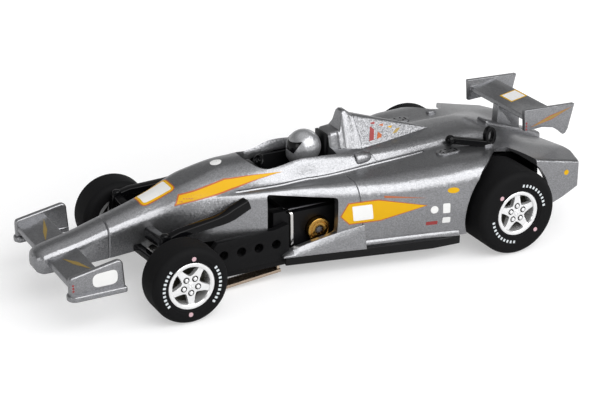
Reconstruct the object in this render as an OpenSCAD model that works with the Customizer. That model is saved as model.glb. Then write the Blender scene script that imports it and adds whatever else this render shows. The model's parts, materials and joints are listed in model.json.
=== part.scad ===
// Open-wheel racing car, an electric slot-track toy about 73 mm long.
// X runs forward to the nose, Y to the car's left, Z up from the floor.

/* [Overall] */
// Distance from the front axle to the rear axle
wheelbase = 44.6; // [42:0.1:48]
// Nose tip ahead of the front axle
front_overhang = 15; // [14:0.1:17]
// Rear wing's rear edge behind the rear axle
rear_overhang = 13.5; // [12.8:0.1:15.5]

/* [Wheels] */
// Front tyre diameter
front_tyre_d = 9.7; // [9.2:0.1:10.4]
// Rear tyre diameter
rear_tyre_d = 11.2; // [10.6:0.1:11.8]
// Front tyre width
front_tyre_w = 4.5; // [3.6:0.1:4.8]
// Rear tyre width
rear_tyre_w = 7.2; // [6.2:0.1:7.4]
// Width over the front tyres
front_track = 26.9; // [26.4:0.1:29]
// Width over the rear tyres
rear_track = 29.9; // [29.6:0.1:32]
// Corner radius of a tyre's shoulder
tyre_shoulder = 0.9; // [0.4:0.1:1.2]
// Wheel rim diameter
rim_d = 6; // [5.4:0.1:6.4]
// Thickness of the rim's barrel
rim_wall = 0.45; // [0.3:0.05:0.7]
// Hub diameter
hub_d = 2.9; // [2.5:0.1:3.2]
// Spokes in a wheel
spokes = 5; // [4:1:7]
// Width of a spoke
spoke_w = 1.05; // [0.7:0.05:1.3]
// Axle diameter
axle_d = 1.58; // [1.3:0.02:1.8]

/* [Gears] */
// Teeth on the crown gear
crown_teeth = 22; // [20:1:24]
// Teeth on the pinion
pinion_teeth = 7; // [6:1:8]
// Gear module
gear_module = 0.355; // [0.33:0.005:0.37]
// Crown gear face width
crown_face = 1; // [0.7:0.1:1.2]
// Motor shaft diameter
shaft_d = 1; // [0.8:0.05:1.2]

/* [Body] */
// Thickness of the body's moulded wall
body_wall = 0.9; // [0.7:0.05:1.1]
// Height of the body's lower edge
sill_z = 3.1; // [2.8:0.1:3.4]
// Half width of the cockpit opening
cockpit_hw = 3.5; // [3.1:0.1:3.7]
// Length of the cockpit opening
cockpit_l = 11.5; // [10.5:0.1:12.5]
// Height of the roll hoop
hoop_z = 18.15; // [17.5:0.05:19.5]
// Helmet radius
helmet_r = 2.15; // [1.8:0.05:2.4]

/* [Wings] */
// Half span of the front wing at its endplates
front_wing_hw = 9.8; // [9:0.1:10.5]
// Half span of the rear wing at its endplates
rear_wing_hw = 7.1; // [6.4:0.1:8]
// Thickness of an endplate
endplate_t = 0.6; // [0.4:0.05:0.9]
// Height of the rear wing's endplates
rear_wing_z = 16; // [15.6:0.1:17]

/* [Chassis] */
// Half width between the motor walls' outer faces
frame_hw = 6.4; // [6.2:0.1:6.6]
// Thickness of the motor walls
frame_wall = 1; // [0.8:0.1:1.2]
// Height of the chassis floor's underside
floor_z = 1.9; // [1.7:0.1:2.1]
// Thickness of the chassis floor
floor_t = 1; // [0.8:0.1:1.2]
// Thickness of the pierced side rails
rail_t = 0.9; // [0.7:0.1:1.1]
// Holes in a side rail
rail_holes = 4; // [2:1:4]
// Diameter of a side rail's holes
rail_hole_d = 1.2; // [0.8:0.1:1.6]
// Diameter of the guide pin's socket
guide_d = 1.6; // [1.2:0.1:2]
// Depth of the guide pin's socket
guide_l = 3; // [2.4:0.1:3.2]
// Diameter of a motor brush barrel
barrel_d = 3.1; // [2.6:0.1:3.4]

/* [Fits] */
// Radial running clearance of an axle or shaft
run_gap = 0.05; // [0.02:0.01:0.1]
// Gap round a fixed tenon or pin in its socket
seat_gap = 0.08; // [0.04:0.02:0.15]
// Room between the body and the motor's electrical pieces
body_gap = 0.3; // [0.2:0.05:0.5]

/* [Hidden] */
$fn = 48;
eps = 0.01;
body_silver = "#8d9196";
frame_black = "#1a1a1c";
chrome = "#d5d7da";

car_l = front_overhang + wheelbase + rear_overhang;
nose_x = car_l / 2;
front_x = nose_x - front_overhang;
rear_x = front_x - wheelbase;
front_z = front_tyre_d / 2;
rear_z = rear_tyre_d / 2;
front_in = front_track / 2 - front_tyre_w;
rear_in = rear_track / 2 - rear_tyre_w;
axle_r = axle_d / 2;
floor_top = floor_z + floor_t;
rail_hw = frame_hw + 0.2 + rail_t;

// Places along the car, measured forward from an axle
function fx(d) = front_x + d;
function rx(d) = rear_x + d;

// Body stations: t is -1 at the nose, 0 and 1 at the axles, 2 at the tail
function along(t) = t < 0 ? front_x - t * front_overhang
    : t < 1 ? front_x - t * wheelbase : rear_x - (t - 1) * rear_overhang;

// Half sections, each a chain of corners from the lower edge up to the crown.
// Columns: station, edge y z, flank y z, shoulder y z, root y z, cowl y z, crown z, shoulder rounding
T = 0;
SECTIONS = [
    [-1.000, 0.6, 5.3, 0.8, 5.7, 0.8, 6.2, 0.7, 6.5, 0.4, 6.7, 6.7, 0.42],
    [-0.980, 1.3, 4.9, 1.5, 5.6, 1.5, 6.5, 1.3, 6.9, 0.8, 7.1, 7.1, 0.42],
    [-0.925, 1.7, 4.7, 1.95, 5.6, 2.0, 6.8, 1.8, 7.2, 1.1, 7.5, 7.5, 0.42],
    [-0.645, 1.8, 4.9, 2.1, 5.9, 2.2, 7.6, 2.0, 8.1, 1.3, 8.5, 8.5, 0.42],
    [-0.390, 1.9, 5.1, 2.2, 6.4, 2.3, 8.6, 2.1, 9.1, 1.4, 9.6, 9.6, 0.42],
    [0.000, 2.2, 5.5, 2.8, 6.8, 2.8, 9.7, 2.6, 10.4, 1.7, 11.3, 11.3, 0.42],
    [0.128, 5.0, sill_z, 5.2, 7.4, 4.2, 11.0, 3.7, 12.1, 2.2, 13.2, 13.2, 0.42],
    [0.242, frame_hw, sill_z, frame_hw + 0.1, 8.0, 6.0, 11.6, 4.9, 12.2, 1.7, 14.1, 14.3, 0.42],
    [0.355, frame_hw + 1.2, sill_z, frame_hw + 1.2, 7.0, 7.2, 12.0, 5.0, 12.3, 3.3, 13.9, 14.4, 0.42],
    [0.430, frame_hw + 1.8, sill_z, frame_hw + 2, 6.6, 7.8, 11.6, 5.1, 12.3, 4.0, 14.4, 14.5, 0.42],
    [0.500, frame_hw + 2.3, sill_z, frame_hw + 2.7, 6.5, 8.4, 11.2, 5.2, 11.9, 4.0, 14.1, 14.3, 0.42],
    [0.634, frame_hw + 3.5, sill_z, frame_hw + 4.1, 6.8, 9.7, 11.0, 4.9, 11.7, 3.3, 13.4, 13.5, 0.42],
    [0.769, 11.2, sill_z, 11.9, 7.1, 11.0, 11.5, 4.6, 12.1, 2.8, 13.2, 13.3, 0.42],
    [0.881, 12.3, sill_z, 13.0, 7.4, 11.9, 12.3, 5.2, 12.4, 3.0, 13.2, 13.3, 0.42],
    [1.000, 12.4, sill_z, 12.9, 7.5, 12.1, 12.3, 7.0, 12.2, 3.0, 13.2, 13.4, 0.35],
    [1.346, 12.2, 4.0, 12.3, 8.0, 12.3, 11.2, 7.0, 11.6, 3.0, 12.2, 12.3, 0.15],
    [1.605, 12.2, 5.1, 12.2, 8.0, 12.2, 10.4, 7.6, 10.9, 3.0, 10.7, 10.7, 0.15],
    [1.875, 12.1, 6.8, 12.2, 8.2, 12.2, 9.6, 8.0, 10.15, 3.0, 9.6, 9.3, 0.15]
];
ROUNDING = 12;
// Rounding of the corners that the table gives none: flank, root, cowl
flank_k = 0.42;
root_k = 0.25;
cowl_k = 0.42;
// Panel joint between the nose and the body, as a station
seam_t = -0.39;
// Body's rear edge, as a station
tail_t = 1.875;

// One column of the table at station t, by cubic steps between its rows
function rise(i, c) = (SECTIONS[i + 1][c] - SECTIONS[i][c]) / (along(SECTIONS[i + 1][T]) - along(SECTIONS[i][T]));
function slope(i, c) = let (
        before = rise(max(i - 1, 0), c),
        after = rise(min(i, len(SECTIONS) - 2), c))
    before * after <= 0 ? 0 : 2 * before * after / (before + after);
function row_at(t, i = 0) = i >= len(SECTIONS) - 2 || t < SECTIONS[i + 1][T] ? i : row_at(t, i + 1);
function column(t, c) = let (
        i = row_at(t),
        x0 = along(SECTIONS[i][T]),
        h = along(SECTIONS[i + 1][T]) - x0,
        u = (along(t) - x0) / h)
    (2 * u ^ 3 - 3 * u ^ 2 + 1) * SECTIONS[i][c] + (u ^ 3 - 2 * u ^ 2 + u) * h * slope(i, c)
    + (3 * u ^ 2 - 2 * u ^ 3) * SECTIONS[i + 1][c] + (u ^ 3 - u ^ 2) * h * slope(i + 1, c);

// Corners of the half section at t, drawn in by an inset
function corners(t, inset) = let (v = [for (c = [0:ROUNDING]) column(t, c)])
    [[v[1] - inset, v[2] - (inset > 0 ? 3 : 0)],
     [v[3] - inset, v[4]],
     [v[5] - inset, v[6] - inset],
     [max(v[7] - inset, 0.2), v[8] - inset],
     [max(v[9] - inset, 0.1), v[10] - inset],
     [0, v[11] - inset]];
function arc(a, b, c, k, n) = let (p = b + (a - b) * k, q = b + (c - b) * k)
    [for (i = [0:n]) let (u = i / n) (1 - u) ^ 2 * p + 2 * u * (1 - u) * b + u ^ 2 * q];
function half_section(t, inset, n) = let (
        p = corners(t, inset),
        k = [0, flank_k, column(t, ROUNDING), root_k, cowl_k])
    concat([p[0]], [for (i = [1:4]) each arc(p[i - 1], p[i], p[i + 1], k[i], n)]);
function ring(t, inset, n) = let (
        h = half_section(t, inset, n),
        top = corners(t, inset)[5],
        m = len(h))
    [for (p = concat(h, [top], [for (i = [m - 1:-1:0]) [-h[i][0], h[i][1]]])) [along(t), p[0], p[1]]];

module loft(rings) {
    m = len(rings[0]);
    last = (len(rings) - 1) * m;
    polyhedron(
        points = [for (r = rings) each r],
        faces = concat(
            [[for (j = [m - 1:-1:0]) j]],
            [[for (j = [0:m - 1]) last + j]],
            [for (i = [0:len(rings) - 2], j = [0:m - 1]) let (
                    a = i * m + j,
                    b = i * m + (j + 1) % m)
                each [[a, b, a + m], [b, b + m, a + m]]]),
        convexity = 8);
}

// Stations between two limits: the table's own, with steps between them
function stations(t0, t1, n) = concat([t0],
    [for (i = [0:len(SECTIONS) - 2], j = [0:n - 1])
        let (t = SECTIONS[i][T] + (SECTIONS[i + 1][T] - SECTIONS[i][T]) * j / n)
        if (t > t0 + 0.005 && t < t1 - 0.005) t],
    [t1]);
module body_loft(t0, t1, inset = 0, n = 3, steps = 3)
    loft([for (t = stations(t0, t1, steps)) ring(t, inset, n)]);

module both_sides() {
    children();
    mirror([0, 1, 0]) children();
}

// A box from one corner to the other
module span(a, b)
    translate([min(a.x, b.x), min(a.y, b.y), min(a.z, b.z)])
        cube([abs(a.x - b.x), abs(a.y - b.y), abs(a.z - b.z)]);

// A side-view outline given thickness between two values of y
module side_slab(points, y0, y1)
    translate([0, max(y0, y1), 0])
        rotate([90, 0, 0]) linear_extrude(abs(y1 - y0)) polygon(points);

// A rod across the car
module cross_rod(x, z, r, y0, y1)
    translate([x, min(y0, y1), z]) rotate([-90, 0, 0]) cylinder(r = r, h = abs(y1 - y0));

// Where the black suspension arms plug into the body: x from the front axle, y, z, and size
ARM_TENONS = [
    [0.8, 2.2, 7.8, 1.2, 2.0, 1.6],
    [2.3, 1.9, 5.95, 1.0, 1.8, 0.9],
    [-10.45, 5.4, 10.75, 1.4, 2.4, 1.2]
];
module arm_tenon(i, grow = 0) {
    a = ARM_TENONS[i];
    translate([fx(a[0]), a[1], a[2]])
        cube([a[3] + 2 * grow, a[4] + 2 * grow, a[5] + 2 * grow], center = true);
}

// Exhaust pipe on the left of the rear deck: its ends, x from the rear axle, y, z
EXHAUST = [[4.1, 4.7, 12.95], [0.1, 7, 12.55]];
exhaust_d = 1.1;
outlet_w = 1.7;
outlet_h = 2.4;
outlet_t = 0.7;

// Moulded tabs at the deck's edge, over each rear axle end
tab_top = 12.5;
tab_y = 7;

// Rear pylon of the wing, in the deck's fin
pylon_hw = 0.65;
pylon_foot_z = 10;
fin_hw = 1.15;

// Side window and cleared front edge of the body, in side view
module side_cut() {
    outline = [[fx(-1.3), -eps], [fx(-1.3), 5.8], [fx(-5.5), 6.1], [fx(-13), 6.7], [fx(-13.2), 11.35],
        [fx(-22), 9.95], [fx(-21.7), sill_z + 2.2], [fx(-15), sill_z + 0.3], [fx(-15), -eps]];
    side_slab(outline, -rear_track, rear_track);
}

// Space for a rear wheel: the tyre's own arc, and an open top outboard of the deck
module wheel_well() {
    arch_r = rear_z + 0.9;
    cross_rod(rear_x, rear_z, arch_r, rear_in - 0.5, rear_track);
    translate([0, 0, rear_z]) linear_extrude(rear_tyre_d)
        polygon([[rx(5.2), rear_track], [rx(4.9), 12.6], [rx(1.2), 9.4], [rx(-2), 9.2], [rx(-4.3), 12.2],
            [rx(-4.6), rear_track]]);
}

// Headrest, roll hoop and engine cover, as faceted wedges between stations.
// Columns: x from the rear axle, base half width, base z, top half width, top z drop below the hoop
RIDGE = [
    [20.1, 1.5, 12.4, 0.8, 2.75],
    [19.0, 2.2, 12.4, 1.3, 2.35],
    [18.3, 2.8, 12.3, 1.2, 2.1],
    [17.8, 3.0, 12.2, 0.75, 0.05],
    [17.1, 3.2, 12.2, 0.75, 0.3],
    [16.3, 3.1, 12.8, 0.6, 0.85],
    [10.3, 1.6, 12.8, 0.4, 2.9],
    [4.9, 0.35, 12.7, 0.2, 4.75]
];
module ridge_station(r) {
    thin = 0.05;
    translate([rx(r[0]), 0, 0]) {
        translate([-thin / 2, -r[1], r[2]]) cube([thin, 2 * r[1], thin]);
        translate([-thin / 2, -r[3], hoop_z - r[4] - thin]) cube([thin, 2 * r[3], thin]);
    }
}
module ridge()
    for (i = [0:len(RIDGE) - 2]) hull() {
        ridge_station(RIDGE[i]);
        ridge_station(RIDGE[i + 1]);
    }

// Rear corners of the body, drawn in toward the tail in plan
module tail_corner()
    linear_extrude(hoop_z) polygon([[rx(-11.9), 8.8], [rx(-10.9), 12.3], [rx(-10.7), rear_track],
        [rx(-14), rear_track], [rx(-14), 8.8]]);

// Low fin down the rear deck, which the wing's pylon stands in
module tail_fin()
    hull() {
        span([rx(-3.7), -fin_hw, 11.6], [rx(-3.6), fin_hw, 13]);
        span([rx(-12.6), -fin_hw, 8.2], [rx(-12.5), fin_hw, 9.8]);
    }

cockpit_x = fx(-12.9);
cockpit_r = 2.4;
module cockpit_opening()
    translate([0, 0, 9.5]) linear_extrude(hoop_z) hull() {
        translate([cockpit_x - cockpit_r, 0]) scale([1, cockpit_hw / cockpit_r]) circle(r = cockpit_r, $fn = 40);
        translate([cockpit_x - cockpit_l + 0.5, 0]) square([1, 2 * cockpit_hw], center = true);
    }

// Round filler neck on the left, lying in the valley beside the hoop
filler_d = 1.7;
filler_l = 2.2;
filler_bowl = 0.3;
FILLER = [17.9, 3.95, 12.45];
module filler()
    translate([rx(FILLER.x), FILLER.y, FILLER.z]) rotate([0, -90, 4]) difference() {
        union() {
            cylinder(d = filler_d, h = filler_l, $fn = 28);
            translate([-0.4, -0.7, filler_l / 2]) sphere(d = filler_d, $fn = 16);
        }
        translate([0, 0, -eps]) cylinder(d1 = filler_d - 0.5, d2 = filler_d - 1, h = filler_bowl, $fn = 28);
    }

// Raised lip round each deck vent
module deck_vent()
    hull() for (d = [7.4, 5.8]) translate([rx(d), 7.3, 11.6]) cylinder(d = 1.5, h = 0.8, $fn = 24);

module body_shell() color(body_silver)
    difference() {
        union() {
            difference() {
                body_loft(seam_t, tail_t);
                body_loft(0.03, tail_t - body_wall / rear_overhang, body_wall, 2, 2);
                side_cut();
                both_sides() wheel_well();
            }
            difference() {
                ridge();
                cockpit_opening();
            }
            tail_fin();
            filler();
            both_sides() span([rx(-0.7), tab_y - 0.45, 11.5], [rx(0.5), tab_y + 0.45, tab_top]);
            both_sides() deck_vent();
        }
        cockpit_opening();
        both_sides() span([fx(rail_rear) - seat_gap, frame_hw, 0], [fx(rail_front + 1), rail_hw + seat_gap, 7.5]);
        cross_rod(front_x, front_z, axle_r + 0.4, -front_track / 2, front_track / 2);
        both_sides() for (i = [0:len(ARM_TENONS) - 1]) arm_tenon(i, seat_gap);
        exhaust_pipe_solid(seat_gap);
        both_sides() {
            cross_rod(fx(barrel_x), barrel_z, barrel_d / 2 + body_gap, 0, frame_hw + barrel_out + body_gap);
            span([fx(strip_x) - body_gap, frame_hw - 1.7, 0],
                [fx(strip_x) + strip_w + body_gap, frame_hw + strip_t + body_gap, strip_z + strip_t + body_gap]);
        }
        both_sides() tail_corner();
        span([rx(-5.6) + seat_gap, -pylon_hw - seat_gap, pylon_foot_z - seat_gap],
            [rx(-9.4) - seat_gap, pylon_hw + seat_gap, rear_wing_z]);
        nose_tongue(seat_gap);
    }

// Tongue that joins the nose to the body
module nose_tongue(grow = 0)
    span([along(seam_t) + eps, -1.1 - grow, 6.2 - grow], [along(seam_t) - 1.6 - grow, 1.1 + grow, 8.4 + grow]);

// Front wing's section and endplate, from the front axle
FRONT_PLANE = [[13.7, 6.1], [13.5, 6.6], [12.3, 6.75], [9.9, 7.5], [9.9, 7.1], [12.2, 6.05], [13.4, 5.6]];
FRONT_PLATE = [[13.8, 5], [13.8, 7.1], [13.6, 7.4], [7.6, 8.5], [7.1, 8.2], [6.9, 5]];
wing_foot_z = 4.5;
wing_foot_w = 0.9;

function from_front(points) = [for (p = points) [fx(p.x), p.y]];
function from_rear(points) = [for (p = points) [rx(p.x), p.y]];

module nose_cone() color(body_silver) {
    union() {
        body_loft(-1, seam_t);
        nose_tongue();
        both_sides() {
            side_slab(from_front(FRONT_PLANE), 1.2, front_wing_hw - endplate_t / 2);
            side_slab(from_front(FRONT_PLATE), front_wing_hw - endplate_t, front_wing_hw);
            translate([0, 0, wing_foot_z]) linear_extrude(0.65) {
                translate([fx(13), front_wing_hw - endplate_t / 2]) circle(r = wing_foot_w);
                translate([fx(6.9), front_wing_hw - endplate_t]) square([6.1, endplate_t / 2 + wing_foot_w]);
            }
        }
    }
}

// Rear wing's section, endplate and pylon, from the rear axle; heights below the endplates' top
REAR_PLANE = [[-6, -1.5], [-6.2, -1], [-7.6, -0.85], [-10, -0.4], [-10, -0.75], [-7.8, -1.4], [-6.4, -1.8]];
REAR_PLATE = [[-5.6, 0], [-13.5, -0.3], [-12.65, -3.6], [-12.3, -4.2], [-11.9, -4.35], [-11.3, -3.8],
    [-10.2, -3.1], [-8.5, -2.75], [-5.8, -2.9]];

module rear_wing() color(body_silver) {
    top = [for (p = REAR_PLATE) [rx(max(p.x, -rear_overhang)), rear_wing_z + p.y]];
    plane = [for (p = REAR_PLANE) [rx(p.x), rear_wing_z + p.y]];
    both_sides() side_slab(top, rear_wing_hw - endplate_t, rear_wing_hw);
    side_slab(plane, -rear_wing_hw + endplate_t / 2, rear_wing_hw - endplate_t / 2);
    side_slab([[rx(-5.9), rear_wing_z - 1.4], [rx(-9.2), rear_wing_z - 0.8], [rx(-9.4), pylon_foot_z],
        [rx(-5.6), pylon_foot_z]], -pylon_hw, pylon_hw);
}

// Cockpit tub, open at the top, with the headrest behind the helmet
tray_z = 9.6;
tray_top = 12.6;
tray_wall = 0.5;
rest_hw = 1.3;
rest_t = 0.4;
rest_top = 15.5;
rest_gap = 0.1;
module tray_plan(inset) {
    hw = cockpit_hw - 0.25 - inset;
    polygon([[cockpit_x - 0.6 - inset, 1.2], [cockpit_x - 4, hw], [cockpit_x - cockpit_l + 0.1 + inset, hw],
        [cockpit_x - cockpit_l + 0.1 + inset, -hw], [cockpit_x - 4, -hw], [cockpit_x - 0.6 - inset, -1.2]]);
}
module cockpit_tray() color("#141416") {
    difference() {
        translate([0, 0, tray_z]) linear_extrude(tray_top - tray_z) tray_plan(0);
        translate([0, 0, tray_z + tray_wall]) linear_extrude(tray_top) tray_plan(tray_wall);
    }
    rest_x = cockpit_x - cockpit_l + 0.05;
    span([rest_x, -rest_hw, tray_z], [rest_x + rest_t, rest_hw, rest_top]);
    span([cockpit_x - 1.7, -1.5, tray_z], [cockpit_x - 1.1, 1.5, 13]);
}

wheel_tilt = 25;
module steering_wheel() color("#101012")
    translate([cockpit_x - 2.3, 0, 12.9]) rotate([0, -90 - wheel_tilt, 0]) {
        rotate_extrude() translate([0.95, 0]) circle(r = 0.2, $fn = 16);
        for (a = [0, 120, 240]) rotate(a + 60) translate([0, -0.15, -0.12]) cube([0.95, 0.3, 0.24]);
        translate([0, 0, -0.45]) cylinder(d = 0.7, h = 0.6);
    }

// Driver's helmet on a short collar that stands on the tub's floor
helmet_x = cockpit_x - cockpit_l + 0.05 + rest_t + rest_gap + helmet_r;
helmet_z = 14;
chin_out = 0.45;
visor_angle = 150;
visor_depth = 0.12;
visor_low = -0.4;
visor_h = 1.15;
module driver_helmet() color("#b9bcc0")
    translate([helmet_x, 0, 0]) {
        difference() {
            union() {
                translate([0, 0, helmet_z]) sphere(r = helmet_r);
                translate([chin_out, 0, helmet_z - 0.5]) sphere(r = helmet_r - 0.35);
                translate([0, 0, tray_z + tray_wall])
                    cylinder(r1 = helmet_r - 0.2, r2 = helmet_r - 0.5, h = helmet_z - tray_z - 1.3);
            }
            translate([0, 0, helmet_z]) rotate(-visor_angle / 2) rotate_extrude(angle = visor_angle)
                translate([helmet_r - visor_depth, visor_low]) square([helmet_r, visor_h]);
        }
    }

// A front suspension arm: legs that meet at the upright beside the wheel
upright_gap = 0.7;
upright_t = 1;
upright_y = front_in - upright_gap - upright_t;
leg_t = 0.6;
module arm_leg(a, b, w, h)
    hull() for (p = [a, b]) translate(p) cube([w, leg_t, h], center = true);
module front_suspension() color("#0c0c0d") {
    apex_y = upright_y + upright_t / 2;
    difference() {
        union() {
            for (i = [0:len(ARM_TENONS) - 1]) arm_tenon(i);
            side_slab([[fx(-1.4), front_z - 1.6], [fx(1.2), front_z - 1.6], [fx(2.2), front_z + 0.8],
                [fx(1.4), front_z + 4.4], [fx(-1.2), front_z + 4.7]], upright_y, upright_y + upright_t);
            arm_leg([fx(0.8), 2.9, 7.8], [fx(0.8), apex_y, 8.2], 1.2, 1.6);
            arm_leg([fx(2.3), 2.5, 5.95], [fx(1.8), apex_y, 5.95], 1, 0.9);
            arm_leg([fx(-0.2), apex_y, 9.2], [fx(-7.1), 6.9, 9.75], 1.2, 0.8);
            arm_leg([fx(-7.1), 6.9, 9.6], [fx(-10.45), 6.5, 10.75], 1.2, 1.15);
        }
        cross_rod(front_x, front_z, axle_r + 0.3, upright_y - 2, upright_y + 2);
    }
}
module front_suspension_left() front_suspension();
module front_suspension_right() mirror([0, 1, 0]) front_suspension();

// Exhaust: a bar with a round end, up to an oval outlet plate
module exhaust_pipe_solid(grow = 0) {
    a = [rx(EXHAUST[0].x), EXHAUST[0].y, EXHAUST[0].z];
    b = [rx(EXHAUST[1].x), EXHAUST[1].y, EXHAUST[1].z];
    translate(a) sphere(d = exhaust_d + 0.2 + 2 * grow, $fn = 32);
    hull() for (p = [a, b]) translate(p) sphere(d = exhaust_d - 0.15 + 2 * grow, $fn = 20);
    translate([b.x - 0.5, b.y + outlet_t / 2 + grow, b.z - 0.3 - grow]) rotate([90, 0, 0])
        linear_extrude(outlet_t + 2 * grow) hull() {
            translate([0, 0.3]) square([outlet_w + 2 * grow, 0.6], center = true);
            translate([0, outlet_h - outlet_w / 2 + 0.15]) circle(d = outlet_w + 2 * grow, $fn = 32);
        }
}
module exhaust_pipe() color("#0c0c0d") exhaust_pipe_solid();

// Moulded chassis: floor, motor walls, pierced rails and the carriers of both axles
gear_front = 6.4;
gear_rear = -5;
post_r = 1.5;
post_out = upright_y - 0.85;
post_in = post_out - 1.3;
member_hw = rear_in - 0.85;
member_in = min(member_hw - 1.5, frame_hw - frame_wall);
motor_front = -16.6;
motor_rear = 9;
rail_front = -5.1;
rail_rear = -15.7;
rail_pitch = 2.38;
guide_x = -4;
guide_z = floor_z - 0.6;
barrel_x = -20.1;
barrel_z = 5.5;
barrel_out = 0.8;
module chassis() color(frame_black)
    difference() {
        union() {
            span([fx(-0.9), -post_out, floor_z], [fx(rail_front), post_out, floor_top]);
            span([fx(rail_front), -rail_hw + 0.2, floor_z], [fx(rail_rear), rail_hw - 0.2, floor_top]);
            span([fx(rail_rear), -frame_hw, floor_z], [rx(gear_front), frame_hw, floor_top]);
            both_sides() {
                side_slab([[fx(-4), floor_z], [fx(-0.9), floor_z], [fx(post_r), front_z], [fx(-post_r), front_z],
                    [fx(-4), floor_top]], post_in, post_out);
                cross_rod(front_x, front_z, post_r, post_in, post_out);
                side_slab([[fx(rail_front - 0.6), floor_top - 0.2], [fx(rail_front), floor_top + 0.8],
                    [fx(rail_front), 5.6], [fx(rail_front - 0.9), 6.7], [fx(rail_rear + 2), 6.9],
                    [fx(rail_rear), 7.3], [fx(rail_rear), floor_top - 0.2]], frame_hw + 0.2, rail_hw);
                span([fx(rail_rear + 1.6), frame_hw - 1.6, floor_z], [fx(rail_rear - 0.2), frame_hw, 8.6]);
                span([fx(motor_front + 1.2), frame_hw - frame_wall, floor_z], [rx(gear_front), frame_hw, 8.2]);
                side_slab([[rx(motor_rear - 0.7), 3.2], [rx(motor_rear - 0.7), 8], [rx(3.6), 10.6], [rx(-3.6), 10.6],
                    [rx(gear_rear - 1.2), 8.6], [rx(gear_rear - 1.2), 3.2]], member_in, member_hw);
            }
            span([fx(motor_front + 1.2), -frame_hw, floor_z], [fx(motor_front + 0.1), frame_hw, 7.4]);
            span([rx(motor_rear - 0.1), -frame_hw, floor_z], [rx(motor_rear - 1.3), frame_hw, 8.2]);
            span([rx(gear_rear), -member_hw, 3.2], [rx(gear_rear - 1.2), member_hw, 6]);
            translate([fx(guide_x), 0, guide_z]) cylinder(d = guide_d + 2.6, h = guide_l + 0.8);
        }
        cross_rod(front_x, front_z, axle_r + run_gap, -front_track / 2, front_track / 2);
        cross_rod(rear_x, rear_z, axle_r + run_gap, -rear_track / 2, rear_track / 2);
        both_sides() for (i = [0:rail_holes - 1])
            cross_rod(fx(rail_front - 1.7 - i * rail_pitch), 4.95, rail_hole_d / 2, frame_hw + 0.1, rail_hw + 1);
        both_sides() cross_rod(fx(barrel_x), barrel_z, barrel_d / 2 + seat_gap, frame_hw - 2, frame_hw + 1);
        translate([rx(motor_rear - 0.7), 0, rear_z]) rotate([0, 90, 0])
            cylinder(d = shaft_d + 0.8, h = 3, center = true);
        translate([fx(guide_x), 0, guide_z - 1]) cylinder(d = guide_d, h = guide_l + 1);
        both_sides() shoe_tabs(seat_gap);
    }

// Side pans under the sidepods, which the body's sills rest on
module floor_pan() color("#111113")
    both_sides() translate([0, 0, floor_z]) linear_extrude(sill_z - floor_z) polygon([
        [fx(rail_rear) - seat_gap, frame_hw], [fx(rail_rear) - seat_gap, rail_hw + seat_gap],
        [fx(-15), rail_hw + seat_gap], [fx(-15), rail_hw + 0.4], [fx(-33.7), 12], [rx(6.9), 12.2],
        [rx(6.9), frame_hw]]);

// Motor can, flat above and below, with the shaft's bearing bore
motor_z0 = floor_top;
motor_h = 5.2;
motor_hw = frame_hw - frame_wall - 0.1;
module motor() color("#6f7276")
    difference() {
        intersection() {
            span([fx(motor_front), -motor_hw, motor_z0], [rx(motor_rear), motor_hw, motor_z0 + motor_h]);
            translate([rx(motor_rear), 0, rear_z]) rotate([0, 90, 0])
                cylinder(r = frame_hw - frame_wall - 0.05, h = wheelbase);
        }
        translate([rx(motor_rear + 5), 0, rear_z]) rotate([0, -90, 0]) cylinder(d = shaft_d + 2 * run_gap, h = 6);
    }

// Pitch circles of the gears, and the parts of a tooth
crown_r = gear_module * crown_teeth / 2;
pinion_r = gear_module * pinion_teeth / 2;
addendum = 0.8 * gear_module;
dedendum = 1.1 * gear_module;
tooth_half = 0.18 * PI * gear_module;

// Motor shaft with the pinion on its end, lying along the car
module pinion_shaft() color("#b08d45")
    translate([rear_x, 0, rear_z]) rotate([0, 90, 0]) {
        translate([0, 0, crown_r - 1.2]) cylinder(d = shaft_d, h = motor_rear + 4.8 - crown_r + 1.2);
        translate([0, 0, crown_r - 1.2]) linear_extrude(2.4) {
            circle(r = pinion_r - dedendum);
            for (i = [0:pinion_teeth - 1]) rotate(270 + (i + 0.5) * 360 / pinion_teeth)
                polygon([[0, -tooth_half * 1.45], [pinion_r - dedendum, -tooth_half * 1.45],
                    [pinion_r + addendum, -tooth_half * 0.5], [pinion_r + addendum, tooth_half * 0.5],
                    [pinion_r - dedendum, tooth_half * 1.45], [0, tooth_half * 1.45]]);
        }
    }

// The crown's hub reaches to the chassis wall, less some side play
side_play = 0.3;
crown_hub_l = member_in - side_play - pinion_r - dedendum;

// Crown gear on the rear axle, its teeth facing the pinion from the car's right
module crown_gear() color("#d9d4c4")
    translate([rear_x, 0, rear_z]) rotate([90, 0, 0]) difference() {
        union() {
            translate([0, 0, pinion_r + dedendum]) cylinder(r = crown_r + crown_face / 2, h = 0.8);
            translate([0, 0, pinion_r + dedendum]) cylinder(d = hub_d + 0.6, h = crown_hub_l);
            for (i = [0:crown_teeth - 1]) rotate(i * 360 / crown_teeth)
                translate([crown_r - crown_face / 2, 0, pinion_r + dedendum]) rotate([90, 0, 90])
                    linear_extrude(crown_face)
                        polygon([[-tooth_half * 1.35, eps], [-tooth_half * 0.6, -dedendum - addendum],
                            [tooth_half * 0.6, -dedendum - addendum], [tooth_half * 1.35, eps]]);
        }
        cylinder(r = axle_r + eps, h = rear_track, center = true);
    }

// Brass brush barrel with its hollow end, through the chassis wall
module brush_barrel() color("#b5893c")
    difference() {
        cross_rod(fx(barrel_x), barrel_z, barrel_d / 2, frame_hw - frame_wall, frame_hw + barrel_out);
        cross_rod(fx(barrel_x), barrel_z, barrel_d / 2 - 0.45, frame_hw + 0.2, frame_hw + barrel_out + eps);
    }
module brush_barrel_left() brush_barrel();
module brush_barrel_right() mirror([0, 1, 0]) brush_barrel();

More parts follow.
